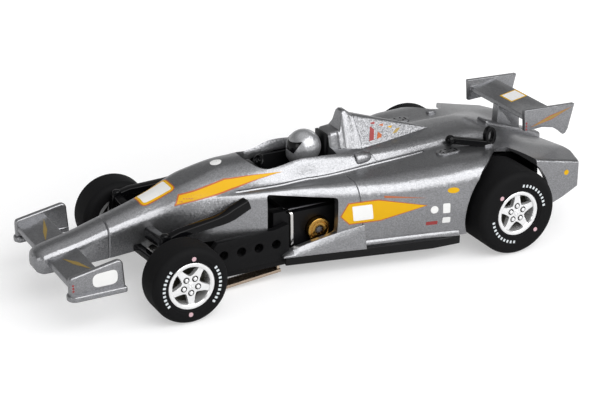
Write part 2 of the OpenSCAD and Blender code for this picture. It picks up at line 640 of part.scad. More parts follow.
// Steel strip that hooks over the motor wall and runs down its outside
strip_t = 0.25;
strip_w = 0.7;
strip_x = -16.9;
strip_z = 8.2;
module contact_strip() color("#c9ccd0") {
    span([fx(strip_x), frame_hw, floor_top + 0.3], [fx(strip_x) + strip_w, frame_hw + strip_t, strip_z + strip_t]);
    span([fx(strip_x), frame_hw - 1.7, strip_z], [fx(strip_x) + strip_w, frame_hw + strip_t, strip_z + strip_t]);
}
module contact_strip_left() contact_strip();
module contact_strip_right() mirror([0, 1, 0]) contact_strip();

// Sprung pickup shoe: a sloping strip with a tab at each end through the floor
SHOE = [[-6.9, 0.35], [-14.6, 1.05]];
shoe_y = frame_hw + 0.1;
shoe_w = 1.7;
shoe_t = 0.35;
module shoe_tabs(grow = 0)
    for (p = SHOE) span([fx(p.x) - grow, shoe_y - 0.5 - grow, p.y],
        [fx(p.x) + shoe_t + grow, shoe_y + 0.5 + grow, floor_top + 0.35 + grow]);
module pickup_shoe() color("#b87b4a") {
    shoe_tabs();
    a = [fx(SHOE[0].x) + shoe_t, SHOE[0].y];
    b = [fx(SHOE[1].x), SHOE[1].y];
    side_slab([a, [a.x, a.y + shoe_t], [b.x, b.y + shoe_t], b], shoe_y - shoe_w / 2, shoe_y + shoe_w / 2);
}
module pickup_shoe_left() pickup_shoe();
module pickup_shoe_right() mirror([0, 1, 0]) pickup_shoe();

// Bar magnets under the floor, ahead of the rear axle
module traction_magnets() color("#45474b")
    both_sides() span([rx(12.5), 2, floor_z - 0.9], [rx(8), frame_hw - frame_wall, floor_z]);

module front_axle() color("#c4c7cb")
    cross_rod(front_x, front_z, axle_r, -front_track / 2 + 1.3, front_track / 2 - 1.3);
module rear_axle() color("#c4c7cb")
    cross_rod(rear_x, rear_z, axle_r, -rear_track / 2 + 1.3, rear_track / 2 - 1.3);

// A wheel about Z, its spoked face toward +Z, with a blind bore for the axle
module wheel(w, turn = 0) {
    rim_r = rim_d / 2;
    edge = w / 2 - 0.2;
    difference() {
        union() {
            difference() {
                translate([0, 0, -edge]) cylinder(r = rim_r, h = 2 * edge);
                translate([0, 0, -w]) cylinder(r = rim_r - rim_wall, h = 2 * w);
            }
            translate([0, 0, -edge]) cylinder(d = hub_d, h = 2 * edge - 0.5);
            translate([0, 0, edge - 2.2]) cylinder(r = rim_r - rim_wall / 2, h = 0.5);
            translate([0, 0, edge - 1]) linear_extrude(0.85) {
                circle(d = hub_d + 0.4);
                for (i = [0:spokes - 1]) rotate(90 + turn + i * 360 / spokes)
                    polygon([[0, -spoke_w * 0.4], [rim_r - rim_wall / 2, -spoke_w / 2],
                        [rim_r - rim_wall / 2, spoke_w / 2], [0, spoke_w * 0.4]]);
            }
        }
        translate([0, 0, -w]) cylinder(r = axle_r + eps, h = 1.5 * w - 1.2);
    }
}
module front_wheel_left() color(chrome)
    translate([front_x, front_track / 2 - front_tyre_w / 2, front_z]) rotate([-90, 0, 0]) wheel(front_tyre_w);
module front_wheel_right() mirror([0, 1, 0]) front_wheel_left();
module rear_wheel_left() color(chrome)
    translate([rear_x, rear_track / 2 - rear_tyre_w / 2, rear_z]) rotate([-90, 0, 0]) wheel(rear_tyre_w, 180);
module rear_wheel_right() mirror([0, 1, 0]) rear_wheel_left();

// A tyre about Z, with rounded shoulders
module tyre(d, w) {
    s = tyre_shoulder;
    rotate_extrude() {
        translate([rim_d / 2, -w / 2]) square([d / 2 - s - rim_d / 2, w]);
        translate([rim_d / 2, -w / 2 + s]) square([(d - rim_d) / 2, w - 2 * s]);
        for (y = [-1, 1]) translate([d / 2 - s, y * (w / 2 - s)]) circle(r = s);
    }
}
module front_tyre_left() color("#1d1d1e")
    translate([front_x, front_track / 2 - front_tyre_w / 2, front_z]) rotate([-90, 0, 0])
        tyre(front_tyre_d, front_tyre_w);
module front_tyre_right() mirror([0, 1, 0]) front_tyre_left();
module rear_tyre_left() color("#1d1d1e")
    translate([rear_x, rear_track / 2 - rear_tyre_w / 2, rear_z]) rotate([-90, 0, 0])
        tyre(rear_tyre_d, rear_tyre_w);
module rear_tyre_right() mirror([0, 1, 0]) rear_tyre_left();

body_shell();
nose_cone();
rear_wing();
cockpit_tray();
steering_wheel();
driver_helmet();
front_suspension_left();
front_suspension_right();
exhaust_pipe();
chassis();
floor_pan();
motor();
pinion_shaft();
crown_gear();
brush_barrel_left();
brush_barrel_right();
contact_strip_left();
contact_strip_right();
pickup_shoe_left();
pickup_shoe_right();
traction_magnets();
front_axle();
rear_axle();
front_wheel_left();
front_wheel_right();
rear_wheel_left();
rear_wheel_right();
front_tyre_left();
front_tyre_right();
rear_tyre_left();
rear_tyre_right();
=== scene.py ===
# %% [markdown]
# # An open-wheel racing car for a slot track
# The car is a toy about 73 mm long: a silver moulded body with wings, a black chassis, chrome wheels and soft
# tyres. The frame holds its construction. This lesson gives each piece the form and finish that the eye sees.
# Shapes are worked out in millimetres, the toy maker's unit, and turned into Blender's metres when they are
# placed.

# %% Load the frame
import json
import math

import bmesh
import bpy
import numpy as np
from mathutils import Matrix, Quaternion, Vector
from mathutils.bvhtree import BVHTree


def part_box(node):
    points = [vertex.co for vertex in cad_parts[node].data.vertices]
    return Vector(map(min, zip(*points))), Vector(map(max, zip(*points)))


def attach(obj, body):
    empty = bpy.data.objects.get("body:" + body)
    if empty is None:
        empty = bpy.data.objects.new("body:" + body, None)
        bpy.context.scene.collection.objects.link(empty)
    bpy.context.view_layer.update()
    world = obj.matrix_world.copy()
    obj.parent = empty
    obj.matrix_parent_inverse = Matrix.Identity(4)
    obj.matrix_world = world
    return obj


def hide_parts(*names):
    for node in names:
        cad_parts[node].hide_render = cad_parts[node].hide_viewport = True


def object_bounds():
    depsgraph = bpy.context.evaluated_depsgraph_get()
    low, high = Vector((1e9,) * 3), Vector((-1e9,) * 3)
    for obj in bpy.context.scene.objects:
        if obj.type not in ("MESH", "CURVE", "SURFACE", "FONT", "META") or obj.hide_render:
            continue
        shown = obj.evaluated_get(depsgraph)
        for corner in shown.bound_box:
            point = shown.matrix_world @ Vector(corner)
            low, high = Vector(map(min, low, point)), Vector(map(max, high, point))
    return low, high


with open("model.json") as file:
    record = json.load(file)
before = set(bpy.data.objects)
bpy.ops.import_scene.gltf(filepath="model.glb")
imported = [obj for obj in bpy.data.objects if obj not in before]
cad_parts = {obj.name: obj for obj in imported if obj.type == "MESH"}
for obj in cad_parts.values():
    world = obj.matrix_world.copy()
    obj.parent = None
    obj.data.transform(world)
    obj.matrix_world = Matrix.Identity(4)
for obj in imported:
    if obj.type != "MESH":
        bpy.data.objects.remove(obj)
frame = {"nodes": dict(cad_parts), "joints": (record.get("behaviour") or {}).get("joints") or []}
cad_low, cad_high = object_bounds()
MM = 0.001
scene = bpy.context.scene
joint_at = {j["name"]: [v / MM for v in j["pos_m"]] for j in frame["joints"]}
front_x, _, front_z = joint_at["front_axle_spin"]
rear_x, _, rear_z = joint_at["rear_axle_spin"]
nose_x = cad_high.x / MM
tail_x = cad_low.x / MM


def fx(d):
    """A place along the car, measured forward from the front axle."""
    return front_x + d


def rx(d):
    """A place along the car, measured forward from the rear axle."""
    return rear_x + d


def node_box(node):
    """A CAD node's lowest and highest corner in millimetres."""
    low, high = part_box(node)
    return low / MM, high / MM


print("frame loaded:", len(frame["nodes"]), "nodes; axles at", front_x, rear_x)

# %% [markdown]
# ## Camera
# The camera stands ahead and to the left of the car, about 23 degrees above the floor, as a product
# photographer stands over a small toy. A long lens keeps the perspective gentle.

# %% Camera
PHOTO_W = 600
FOCAL_PX = 1737.0
SENSOR = 36.0
camera_at = Vector((93.95, 181.58, 93.90)) * MM
camera_to = Vector((0.46, 0, 6.63)) * MM
camera_roll = math.radians(-0.3)
camera = bpy.data.objects.new("camera", bpy.data.cameras.new("camera"))
scene.collection.objects.link(camera)
camera.data.sensor_width = SENSOR
camera.data.lens = FOCAL_PX * SENSOR / PHOTO_W
camera.data.clip_start = 0.01
camera.location = camera_at
camera.rotation_mode = "QUATERNION"
aim = (camera_to - camera_at).to_track_quat("-Z", "Y")
camera.rotation_quaternion = aim @ Quaternion((0, 0, 1), camera_roll)
scene.camera = camera
scene.view_settings.view_transform = "Standard"
print("camera lens", round(camera.data.lens, 1), "mm")

# %% [markdown]
# ## Light and floor
# Metallic paint shows little but what it reflects. One broad soft box stands over the left side, so that the
# curved shoulders carry a long bright line. The sky is pale near the horizon, dark above that and pale again
# overhead, so that each slope of the paint shows a tone of its own. The floor is a pale sheet. Away from the
# car it adds some white of its own, for the eye and for reflections only, so it never lights the car, and close
# to the car that white fades, so that the shadow stays.

# %% Light and floor
FLOOR_SIZE = 3000 * MM
FLOOR_DROP = 0.02 * MM
GLOW_NEAR, GLOW_FAR = 25 * MM, 140 * MM
GLOW_LOW, GLOW_HIGH = 0.42, 0.95
GLOW_MIRRORED = 0.3


def soft_box(name, at, to, size, watts):
    lamp = bpy.data.lights.new(name, "AREA")
    lamp.shape = "RECTANGLE"
    lamp.size, lamp.size_y = (s * MM for s in size)
    lamp.energy = watts
    obj = bpy.data.objects.new(name, lamp)
    scene.collection.objects.link(obj)
    obj.location = Vector(at) * MM
    obj.rotation_euler = (Vector(to) - Vector(at)).to_track_quat("-Z", "Y").to_euler()


soft_box("key_box", (-85, 255, 240), (0, 0, 5), (520, 320), 1.75)
soft_box("front_box", (330, 120, 130), (10, 0, 5), (160, 120), 0.12)

world = bpy.data.worlds.new("studio")
scene.world = world
world.use_nodes = True
nodes, links = world.node_tree.nodes, world.node_tree.links
direction = nodes.new("ShaderNodeTexCoord")
split = nodes.new("ShaderNodeSeparateXYZ")
ramp = nodes.new("ShaderNodeValToRGB")
links.new(direction.outputs["Generated"], split.inputs[0])
links.new(split.outputs["Z"], ramp.inputs[0])
links.new(ramp.outputs["Color"], nodes["Background"].inputs["Color"])
# Columns: height, from the horizon at 0 to overhead at 1, and grey
SKY = ((0.0, 0.6), (0.3, 0.55), (0.48, 0.15), (0.62, 0.16), (0.84, 0.5), (1.0, 0.8))
stops = ramp.color_ramp.elements
for k, (height, grey) in enumerate(SKY):
    stop = stops[k] if k < 2 else stops.new(height)
    stop.position = height
    stop.color = (grey, grey, grey, 1)
nodes["Background"].inputs["Strength"].default_value = 1.0

floor_mesh = bpy.data.meshes.new("floor")
half = FLOOR_SIZE / 2
corners = [(-half, -half, 0), (half, -half, 0), (half, half, 0), (-half, half, 0)]
floor_mesh.from_pydata(corners, [], [(0, 1, 2, 3)])
floor = bpy.data.objects.new("floor", floor_mesh)
scene.collection.objects.link(floor)
floor.location.z = cad_low.z - FLOOR_DROP

paper = bpy.data.materials.new("floor_paper")
paper.use_nodes = True
nodes, links = paper.node_tree.nodes, paper.node_tree.links
sheet = nodes["Principled BSDF"]
sheet.inputs["Base Color"].default_value = (0.6, 0.6, 0.605, 1)
sheet.inputs["Roughness"].default_value = 0.45
sheet.inputs["Specular IOR Level"].default_value = 0.2
sheet.inputs["Emission Color"].default_value = (1, 1, 1, 1)
rays = nodes.new("ShaderNodeLightPath")
seen = nodes.new("ShaderNodeMath")
seen.operation = "MULTIPLY_ADD"
seen.inputs[1].default_value = GLOW_MIRRORED
links.new(rays.outputs["Is Glossy Ray"], seen.inputs[0])
links.new(rays.outputs["Is Camera Ray"], seen.inputs[2])
seen_through = nodes.new("ShaderNodeMath")
seen_through.operation = "MAXIMUM"
links.new(seen.outputs[0], seen_through.inputs[0])
links.new(rays.outputs["Is Transmission Ray"], seen_through.inputs[1])
floor_spot = nodes.new("ShaderNodeNewGeometry")
reach = nodes.new("ShaderNodeVectorMath")
reach.operation = "LENGTH"
links.new(floor_spot.outputs["Position"], reach.inputs[0])
fade = nodes.new("ShaderNodeMapRange")
fade.interpolation_type = "SMOOTHSTEP"
for socket, value in zip(fade.inputs[1:5], (GLOW_NEAR, GLOW_FAR, GLOW_LOW, GLOW_HIGH)):
    socket.default_value = value
links.new(reach.outputs["Value"], fade.inputs[0])
glow = nodes.new("ShaderNodeMath")
glow.operation = "MULTIPLY"
links.new(seen_through.outputs[0], glow.inputs[0])
links.new(fade.outputs[0], glow.inputs[1])
links.new(glow.outputs[0], sheet.inputs["Emission Strength"])
floor_mesh.materials.append(paper)
print("lights:", len(bpy.data.lights), "floor at", round(floor.location.z / MM, 3), "mm")

# %% [markdown]
# ## Shared surface effects
# The colour and gloss of the toy's surfaces drift a little from place to place, and a mould or a plating leaves
# a fine grain: one node group gives all three. A second one gives the metal flake that glitters in paint. Each
# is built once, and each material places it with its own values.


# %% Node groups
def new_group(name, inputs, outputs):
    group = bpy.data.node_groups.new(name, "ShaderNodeTree")
    for label, kind, value in inputs:
        socket = group.interface.new_socket(label, in_out="INPUT", socket_type=kind)
        socket.default_value = value
    for label, kind in outputs:
        group.interface.new_socket(label, in_out="OUTPUT", socket_type=kind)
    start = group.nodes.new("NodeGroupInput")
    end = group.nodes.new("NodeGroupOutput")
    return group, start.outputs, end.inputs


def add_node(tree, kind, **values):
    """A node with its plain settings, and its sockets by name."""
    node = tree.nodes.new(kind)
    for key, value in values.items():
        if key in node.inputs:
            node.inputs[key].default_value = value
        else:
            setattr(node, key, value)
    return node


COLOUR, VALUE = "NodeSocketColor", "NodeSocketFloat"

drift, given, out = new_group(
    "surface_drift",
    [("Colour", COLOUR, (0.5, 0.5, 0.5, 1)), ("Tint", COLOUR, (0.4, 0.4, 0.4, 1)), ("Scale", VALUE, 300.0),
     ("Low", VALUE, 0.3), ("High", VALUE, 0.4), ("Grain", VALUE, 4000.0)],
    [("Colour", COLOUR), ("Roughness", VALUE), ("Height", VALUE)])
spot = add_node(drift, "ShaderNodeTexCoord")
patch = add_node(drift, "ShaderNodeTexNoise", Detail=4.0, Roughness=0.6)
fine = add_node(drift, "ShaderNodeTexNoise", Detail=3.0, Roughness=0.7)
tone = add_node(drift, "ShaderNodeMix", data_type="RGBA")
gloss = add_node(drift, "ShaderNodeMapRange")
drift.links.new(spot.outputs["Object"], patch.inputs["Vector"])
drift.links.new(spot.outputs["Object"], fine.inputs["Vector"])
drift.links.new(given["Scale"], patch.inputs["Scale"])
drift.links.new(given["Grain"], fine.inputs["Scale"])
drift.links.new(patch.outputs["Fac"], tone.inputs["Factor"])
drift.links.new(given["Colour"], tone.inputs["A"])
drift.links.new(given["Tint"], tone.inputs["B"])
drift.links.new(patch.outputs["Fac"], gloss.inputs["Value"])
drift.links.new(given["Low"], gloss.inputs["To Min"])
drift.links.new(given["High"], gloss.inputs["To Max"])
drift.links.new(tone.outputs["Result"], out["Colour"])
drift.links.new(gloss.outputs["Result"], out["Roughness"])
drift.links.new(fine.outputs["Fac"], out["Height"])

flake, given, out = new_group(
    "metal_flake",
    [("Colour", COLOUR, (0.5, 0.5, 0.5, 1)), ("Size", VALUE, 9000.0), ("Tilt", VALUE, 0.2),
     ("Glint", VALUE, 0.3)],
    [("Colour", COLOUR), ("Normal", "NodeSocketVector")])
spot = add_node(flake, "ShaderNodeTexCoord")
cells = add_node(flake, "ShaderNodeTexVoronoi")
centre = add_node(flake, "ShaderNodeVectorMath", operation="SUBTRACT")
centre.inputs[1].default_value = (0.5, 0.5, 0.5)
lean = add_node(flake, "ShaderNodeVectorMath", operation="SCALE")
shape = add_node(flake, "ShaderNodeNewGeometry")
tilted = add_node(flake, "ShaderNodeVectorMath", operation="ADD")
unit = add_node(flake, "ShaderNodeVectorMath", operation="NORMALIZE")
grey = add_node(flake, "ShaderNodeSeparateXYZ")
bright = add_node(flake, "ShaderNodeMapRange")
glint = add_node(flake, "ShaderNodeVectorMath", operation="SCALE")
low_end = add_node(flake, "ShaderNodeMath", operation="SUBTRACT")
low_end.inputs[0].default_value = 1.0
high_end = add_node(flake, "ShaderNodeMath", operation="ADD")
high_end.inputs[0].default_value = 1.0
flake.links.new(spot.outputs["Object"], cells.inputs["Vector"])
flake.links.new(given["Size"], cells.inputs["Scale"])
flake.links.new(cells.outputs["Color"], centre.inputs[0])
flake.links.new(centre.outputs[0], lean.inputs[0])
flake.links.new(given["Tilt"], lean.inputs["Scale"])
flake.links.new(shape.outputs["Normal"], tilted.inputs[0])
flake.links.new(lean.outputs[0], tilted.inputs[1])
flake.links.new(tilted.outputs[0], unit.inputs[0])
flake.links.new(cells.outputs["Color"], grey.inputs[0])
flake.links.new(grey.outputs["X"], bright.inputs["Value"])
flake.links.new(given["Glint"], low_end.inputs[1])
flake.links.new(given["Glint"], high_end.inputs[1])
flake.links.new(low_end.outputs[0], bright.inputs["To Min"])
flake.links.new(high_end.outputs[0], bright.inputs["To Max"])
flake.links.new(given["Colour"], glint.inputs[0])
flake.links.new(bright.outputs["Result"], glint.inputs["Scale"])
flake.links.new(glint.outputs[0], out["Colour"])
flake.links.new(unit.outputs[0], out["Normal"])
print("node groups:", [g.name for g in bpy.data.node_groups])

# %% [markdown]
# ## Finishes
# A finish is a Principled shader fed by the shared groups. The silver paint is a metal with flakes under a
# clear coat. Chassis and tub are matte moulded plastic, the suspension is the same plastic polished, the tyres
# are rubber.


# %% Finishes
def finish(name, colour, tint, rough, drift_scale=300.0, grain=4000.0, bump=0.0, metallic=0.0, coat=0.0,
           coat_rough=0.08, specular=0.5, glitter=None):
    """One material: colour drifting to a tint, roughness between two limits, and a fine grain."""
    made = bpy.data.materials.new(name)
    made.use_nodes = True
    tree = made.node_tree
    shader = tree.nodes["Principled BSDF"]
    shader.inputs["Metallic"].default_value = metallic
    shader.inputs["Coat Weight"].default_value = coat
    shader.inputs["Coat Roughness"].default_value = coat_rough
    shader.inputs["Specular IOR Level"].default_value = specular
    base = add_node(tree, "ShaderNodeGroup", node_tree=drift)
    for label, value in (("Colour", (*colour, 1)), ("Tint", (*tint, 1)), ("Scale", drift_scale),
                         ("Low", rough[0]), ("High", rough[1]), ("Grain", grain)):
        base.inputs[label].default_value = value
    tree.links.new(base.outputs["Roughness"], shader.inputs["Roughness"])
    shade = base.outputs["Colour"]
    normal = None
    if glitter:
        speck = add_node(tree, "ShaderNodeGroup", node_tree=flake)
        for label, value in zip(("Size", "Tilt", "Glint"), glitter):
            speck.inputs[label].default_value = value
        tree.links.new(shade, speck.inputs["Colour"])
        shade, normal = speck.outputs["Colour"], speck.outputs["Normal"]
    tree.links.new(shade, shader.inputs["Base Color"])
    if bump:
        relief = add_node(tree, "ShaderNodeBump", Strength=1.0, Distance=bump * MM)
        tree.links.new(base.outputs["Height"], relief.inputs["Height"])
        if normal:
            tree.links.new(normal, relief.inputs["Normal"])
        normal = relief.outputs["Normal"]
    if normal:
        tree.links.new(normal, shader.inputs["Normal"])
    return made


INK_DRIFT = 900.0
MARK_DRIFT = 2500.0
BLACK, BLACK_TINT = (0.003, 0.003, 0.0035), (0.005, 0.005, 0.0055)


def ink(name, colour, tint, rough=(0.32, 0.42), **more):
    """A printing ink, whose colour drifts over shorter distances than a moulding's."""
    return finish(name, colour, tint, rough, drift_scale=INK_DRIFT, **more)


silver_paint = finish("silver_paint", (0.29, 0.292, 0.303), (0.255, 0.257, 0.267), (0.26, 0.32), metallic=0.92,
                      coat=0.15, glitter=(9500.0, 0.13, 0.18))
helmet_paint = finish("helmet_paint", (0.42, 0.424, 0.437), (0.38, 0.384, 0.397), (0.26, 0.32), metallic=0.7,
                      coat=0.4, glitter=(8000.0, 0.13, 0.16))
chassis_black = finish("chassis_black", BLACK, BLACK_TINT, (0.34, 0.5), bump=0.012, specular=0.12)
tub_black = finish("tub_black", BLACK, BLACK_TINT, (0.28, 0.42), bump=0.01, specular=0.14)
arm_black = finish("arm_black", (0.002, 0.002, 0.0025), (0.003, 0.003, 0.0035), (0.05, 0.09), bump=0.002,
                   specular=0.16)
visor_black = finish("visor_black", BLACK, BLACK_TINT, (0.06, 0.1), specular=0.2)
rubber = finish("soft_rubber", (0.004, 0.004, 0.0045), (0.007, 0.007, 0.0075), (0.6, 0.76), bump=0.02,
                specular=0.1)
chrome = finish("chrome_plate", (0.92, 0.92, 0.925), (0.86, 0.86, 0.865), (0.06, 0.12), metallic=0.72,
                specular=0.8)
bright_steel = finish("bright_steel", (0.68, 0.67, 0.65), (0.60, 0.59, 0.57), (0.16, 0.28), metallic=1.0,
                      bump=0.004)
can_steel = finish("can_steel", (0.10, 0.10, 0.105), (0.075, 0.075, 0.08), (0.3, 0.42), metallic=1.0,
                   bump=0.006)
brass = finish("turned_brass", (0.50, 0.29, 0.07), (0.38, 0.21, 0.05), (0.18, 0.3), metallic=1.0, bump=0.004)
copper = finish("strip_copper", (0.56, 0.46, 0.36), (0.44, 0.34, 0.26), (0.24, 0.38), metallic=1.0, bump=0.006)
magnet_grey = finish("magnet_grey", (0.10, 0.10, 0.11), (0.15, 0.15, 0.16), (0.45, 0.6), metallic=0.6,
                     bump=0.01)
acetal = finish("ivory_acetal", (0.70, 0.66, 0.54), (0.64, 0.60, 0.48), (0.38, 0.5), bump=0.006)
# The near-black wheel finish is painted shade: it colours the lug pockets and the disc seen through the
# windows.
wheel_painted_shade = finish("painted_wheel_shade", (0.012, 0.011, 0.006), (0.02, 0.018, 0.01), (0.4, 0.55), metallic=0.3)
ink_yellow = ink("ink_yellow", (0.68, 0.385, 0.005), (0.62, 0.345, 0.004), (0.34, 0.44), specular=0.2)
ink_orange = ink("ink_orange", (0.46, 0.10, 0.010), (0.38, 0.08, 0.010), (0.3, 0.4), coat=0.3)
ink_white = ink("ink_white", (0.80, 0.80, 0.79), (0.74, 0.74, 0.73), coat=0.2)
ink_red = ink("ink_red", (0.30, 0.022, 0.022), (0.24, 0.018, 0.018), coat=0.2)
ink_gold = ink("ink_gold", (0.36, 0.25, 0.07), (0.30, 0.21, 0.06), metallic=0.4)
tyre_white = finish("tyre_white", (0.66, 0.70, 0.72), (0.55, 0.59, 0.61), (0.5, 0.65), drift_scale=MARK_DRIFT)
tyre_pink = finish("tyre_pink", (0.62, 0.33, 0.36), (0.52, 0.42, 0.46), (0.5, 0.65), drift_scale=MARK_DRIFT)
print("finishes:", len(bpy.data.materials))

# %% [markdown]
# ## Making and placing pieces
# Every piece is a mesh made from points and faces. A few helpers do the common steps: make a solid from rings,
# extrude an outline, turn a profile, cut one solid with another, round its edges, draw a fine seam, and give
# the finished piece to the body that carries it.

# %% Helpers for pieces
WELD, SLIVER, CAD_WELD = 1e-4, 1e-5, 1e-3
CAD_FLAT = 0.6
SEAM_SIDES = 8
BAR_ROUND, BAR_TIP, BAR_TAPER = 0.24, 0.12, 0.72


def rework(obj, change):
    """Runs a change on an object's mesh."""
    bm = bmesh.new()
    bm.from_mesh(obj.data)
    change(bm)
    bm.to_mesh(obj.data)
    bm.free()
    return obj


def solid(name, points, faces, material=None):
    mesh = bpy.data.meshes.new(name)
    mesh.from_pydata([tuple(p) for p in points], [], [tuple(f) for f in faces])
    obj = bpy.data.objects.new(name, mesh)
    scene.collection.objects.link(obj)
    if material:
        mesh.materials.append(material)
    return rework(obj, lambda bm: bmesh.ops.recalc_face_normals(bm, faces=bm.faces))


def tidy_mesh(bm):
    bmesh.ops.remove_doubles(bm, verts=bm.verts, dist=WELD)
    bmesh.ops.dissolve_degenerate(bm, edges=bm.edges, dist=SLIVER)
    bmesh.ops.recalc_face_normals(bm, faces=bm.faces)


def skin(rings, closed=False):
    """Faces between rings of equally many points, with end caps unless the rings close on themselves."""
    m = len(rings[0])
    n = len(rings)
    faces = []
    for i in range(n if closed else n - 1):
        for j in range(m):
            a, b, k = j, (j + 1) % m, (i + 1) % n
            faces.append((i * m + a, i * m + b, k * m + b, k * m + a))
    if not closed:
        faces += [tuple(range(m)), tuple((n - 1) * m + j for j in range(m))]
    return faces


def loft(name, rings, material=None, closed=False):
    """A solid through rings of equally many points."""
    return solid(name, [p for ring in rings for p in ring], skin(rings, closed), material)


def prism(name, outline, axis, low, high, material=None):
    """An outline extruded along an axis: 'y' takes (x, z) points, 'z' takes (x, y), 'x' takes (y, z)."""
    spread = {
        "x": lambda p, d: (d, p[0], p[1]),
        "y": lambda p, d: (p[0], d, p[1]),
        "z": lambda p, d: (p[0], p[1], d)}
    return loft(name, [[spread[axis](p, d) for p in outline] for d in (low, high)], material)


def disc(x, y, radius, count=96):
    """A round outline."""
    turn = np.linspace(0, 2 * math.pi, count + 1)[:-1]
    return [(x + radius * math.cos(a), y + radius * math.sin(a)) for a in turn]


def bend(a, corner, b, steps):
    """Points on a curve from a to b that turns at a corner."""
    a, corner, b = (np.array(p, float) for p in (a, corner, b))
    return [tuple((1 - u) ** 2 * a + 2 * u * (1 - u) * corner + u**2 * b) for u in np.linspace(0, 1, steps)]


def rounded(outline, radius, steps=5):
    """The outline with each corner drawn as a curve that starts a radius away from it."""
    made = []
    count = len(outline)
    for i in range(count):
        corner = np.array(outline[i], float)
        ends = []
        for other in (outline[i - 1], outline[(i + 1) % count]):
            side = np.array(other, float) - corner
            ends.append(corner + side * min(radius / np.linalg.norm(side), 0.45))
        made += bend(ends[0], corner, ends[1], steps)
    return made


def arc(cy, cr, radius, a0, a1, steps):
    """Points on an arc about (cy, cr), angles in degrees from the first axis."""
    return [(cy + radius * math.cos(math.radians(a)), cr + radius * math.sin(math.radians(a)))
            for a in np.linspace(a0, a1, steps)]


def across(side, y0, y1):
    """Two values of y on one side of the car, in rising order."""
    return sorted((side * y0, side * y1))


def spin(name, profile, at, axis, turns=64, material=None):
    """A closed profile of (along, radius) points turned about an axis through a point."""
    axis = Vector(axis).normalized()
    side = axis.cross(Vector((0, 0, 1)) if abs(axis.z) < 0.9 else Vector((1, 0, 0))).normalized()
    up = side.cross(axis)
    rings = []
    for k in range(turns):
        a = 2 * math.pi * k / turns
        outward = side * math.cos(a) + up * math.sin(a)
        rings.append([Vector(at) + axis * d + outward * r for d, r in profile])
    return rework(loft(name, rings, material, closed=True), tidy_mesh)


def combine(piece, tool, how="DIFFERENCE"):
    """Cuts a piece with a tool, or joins the tool to it, and removes the tool."""
    cut = piece.modifiers.new("combine", "BOOLEAN")
    cut.operation = how
    cut.object = tool
    cut.solver = "MANIFOLD"
    cut.material_mode = "TRANSFER"
    done = bpy.data.meshes.new_from_object(piece.evaluated_get(bpy.context.evaluated_depsgraph_get()))
    piece.modifiers.clear()
    if len(done.polygons) == 0:
        raise RuntimeError(f"{piece.name}: nothing left after {how} with {tool.name}")
    piece.data = done
    bpy.data.objects.remove(tool)
    return piece


def gather(name, parts):
    """Several finished meshes as one object."""
    bm = bmesh.new()
    for part in parts:
        bm.from_mesh(part.data)
    mesh = bpy.data.meshes.new(name)
    bm.to_mesh(mesh)
    bm.free()
    for material in parts[0].data.materials:
        mesh.materials.append(material)
    for part in parts:
        bpy.data.objects.remove(part)
    made = bpy.data.objects.new(name, mesh)
    scene.collection.objects.link(made)
    return made


def soften(obj, width, segments=2, angle=30):
    """Rounds the edges that turn more than an angle."""
    def change(bm):
        limit = math.radians(angle)
        sharp = [e for e in bm.edges if len(e.link_faces) == 2 and e.calc_face_angle(0) > limit]
        bmesh.ops.bevel(bm, geom=sharp, offset=width, segments=segments, profile=0.5, affect="EDGES",
                        clamp_overlap=True)
    return rework(obj, change)


def surface(piece):
    """A search tree of a piece's faces, while it is still in millimetres."""
    bm = bmesh.new()
    bm.from_mesh(piece.data)
    tree = BVHTree.FromBMesh(bm)
    bm.free()
    return tree


def seam(piece, path, radius, step=0.2):
    """Cuts a fine line into a piece: a thin round tool drawn along a path on its surface."""
    tree = surface(piece)
    dense = []
    for a, b in zip(path[:-1], path[1:]):
        count = max(2, int(math.dist(a, b) / step))
        dense += [Vector(a).lerp(Vector(b), k / count) for k in range(count)]
    dense.append(Vector(path[-1]))
    turn = np.linspace(0, 2 * math.pi, SEAM_SIDES + 1)[:-1]
    rings = []
    for i, p in enumerate(dense):
        hit, normal, _, _ = tree.find_nearest(p)
        heading = (dense[min(i + 1, len(dense) - 1)] - dense[max(i - 1, 0)]).normalized()
        side = heading.cross(normal).normalized()
        up = side.cross(heading)
        rings.append([hit + (side * math.cos(a) + up * math.sin(a)) * radius for a in turn])
    return combine(piece, loft("seam_tool", rings))


def mirrored(piece, name):
    """A copy of a piece on the car's other side."""
    twin = bpy.data.objects.new(name, piece.data.copy())
    scene.collection.objects.link(twin)
    twin.data.transform(Matrix.Scale(-1, 4, (0, 1, 0)))
    twin.data.flip_normals()
    return twin


def on_both_sides(piece, tool, how="DIFFERENCE"):
    """Cuts or joins a tool and its twin on the other side."""
    twin = mirrored(tool, "twin_tool")
    combine(piece, tool, how)
    return combine(piece, twin, how)


def place(piece, body, material=None, replaces=(), sharp=32):
    """Turns a finished piece to metres and gives it to the body that carries it."""
    piece.data.transform(Matrix.Scale(MM, 4))
    piece.data.shade_smooth()
    piece.data.set_sharp_from_angle(angle=math.radians(sharp))
    if material and not piece.data.materials:
        piece.data.materials.append(material)
    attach(piece, body)
    if replaces:
        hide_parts(*replaces)
    return piece


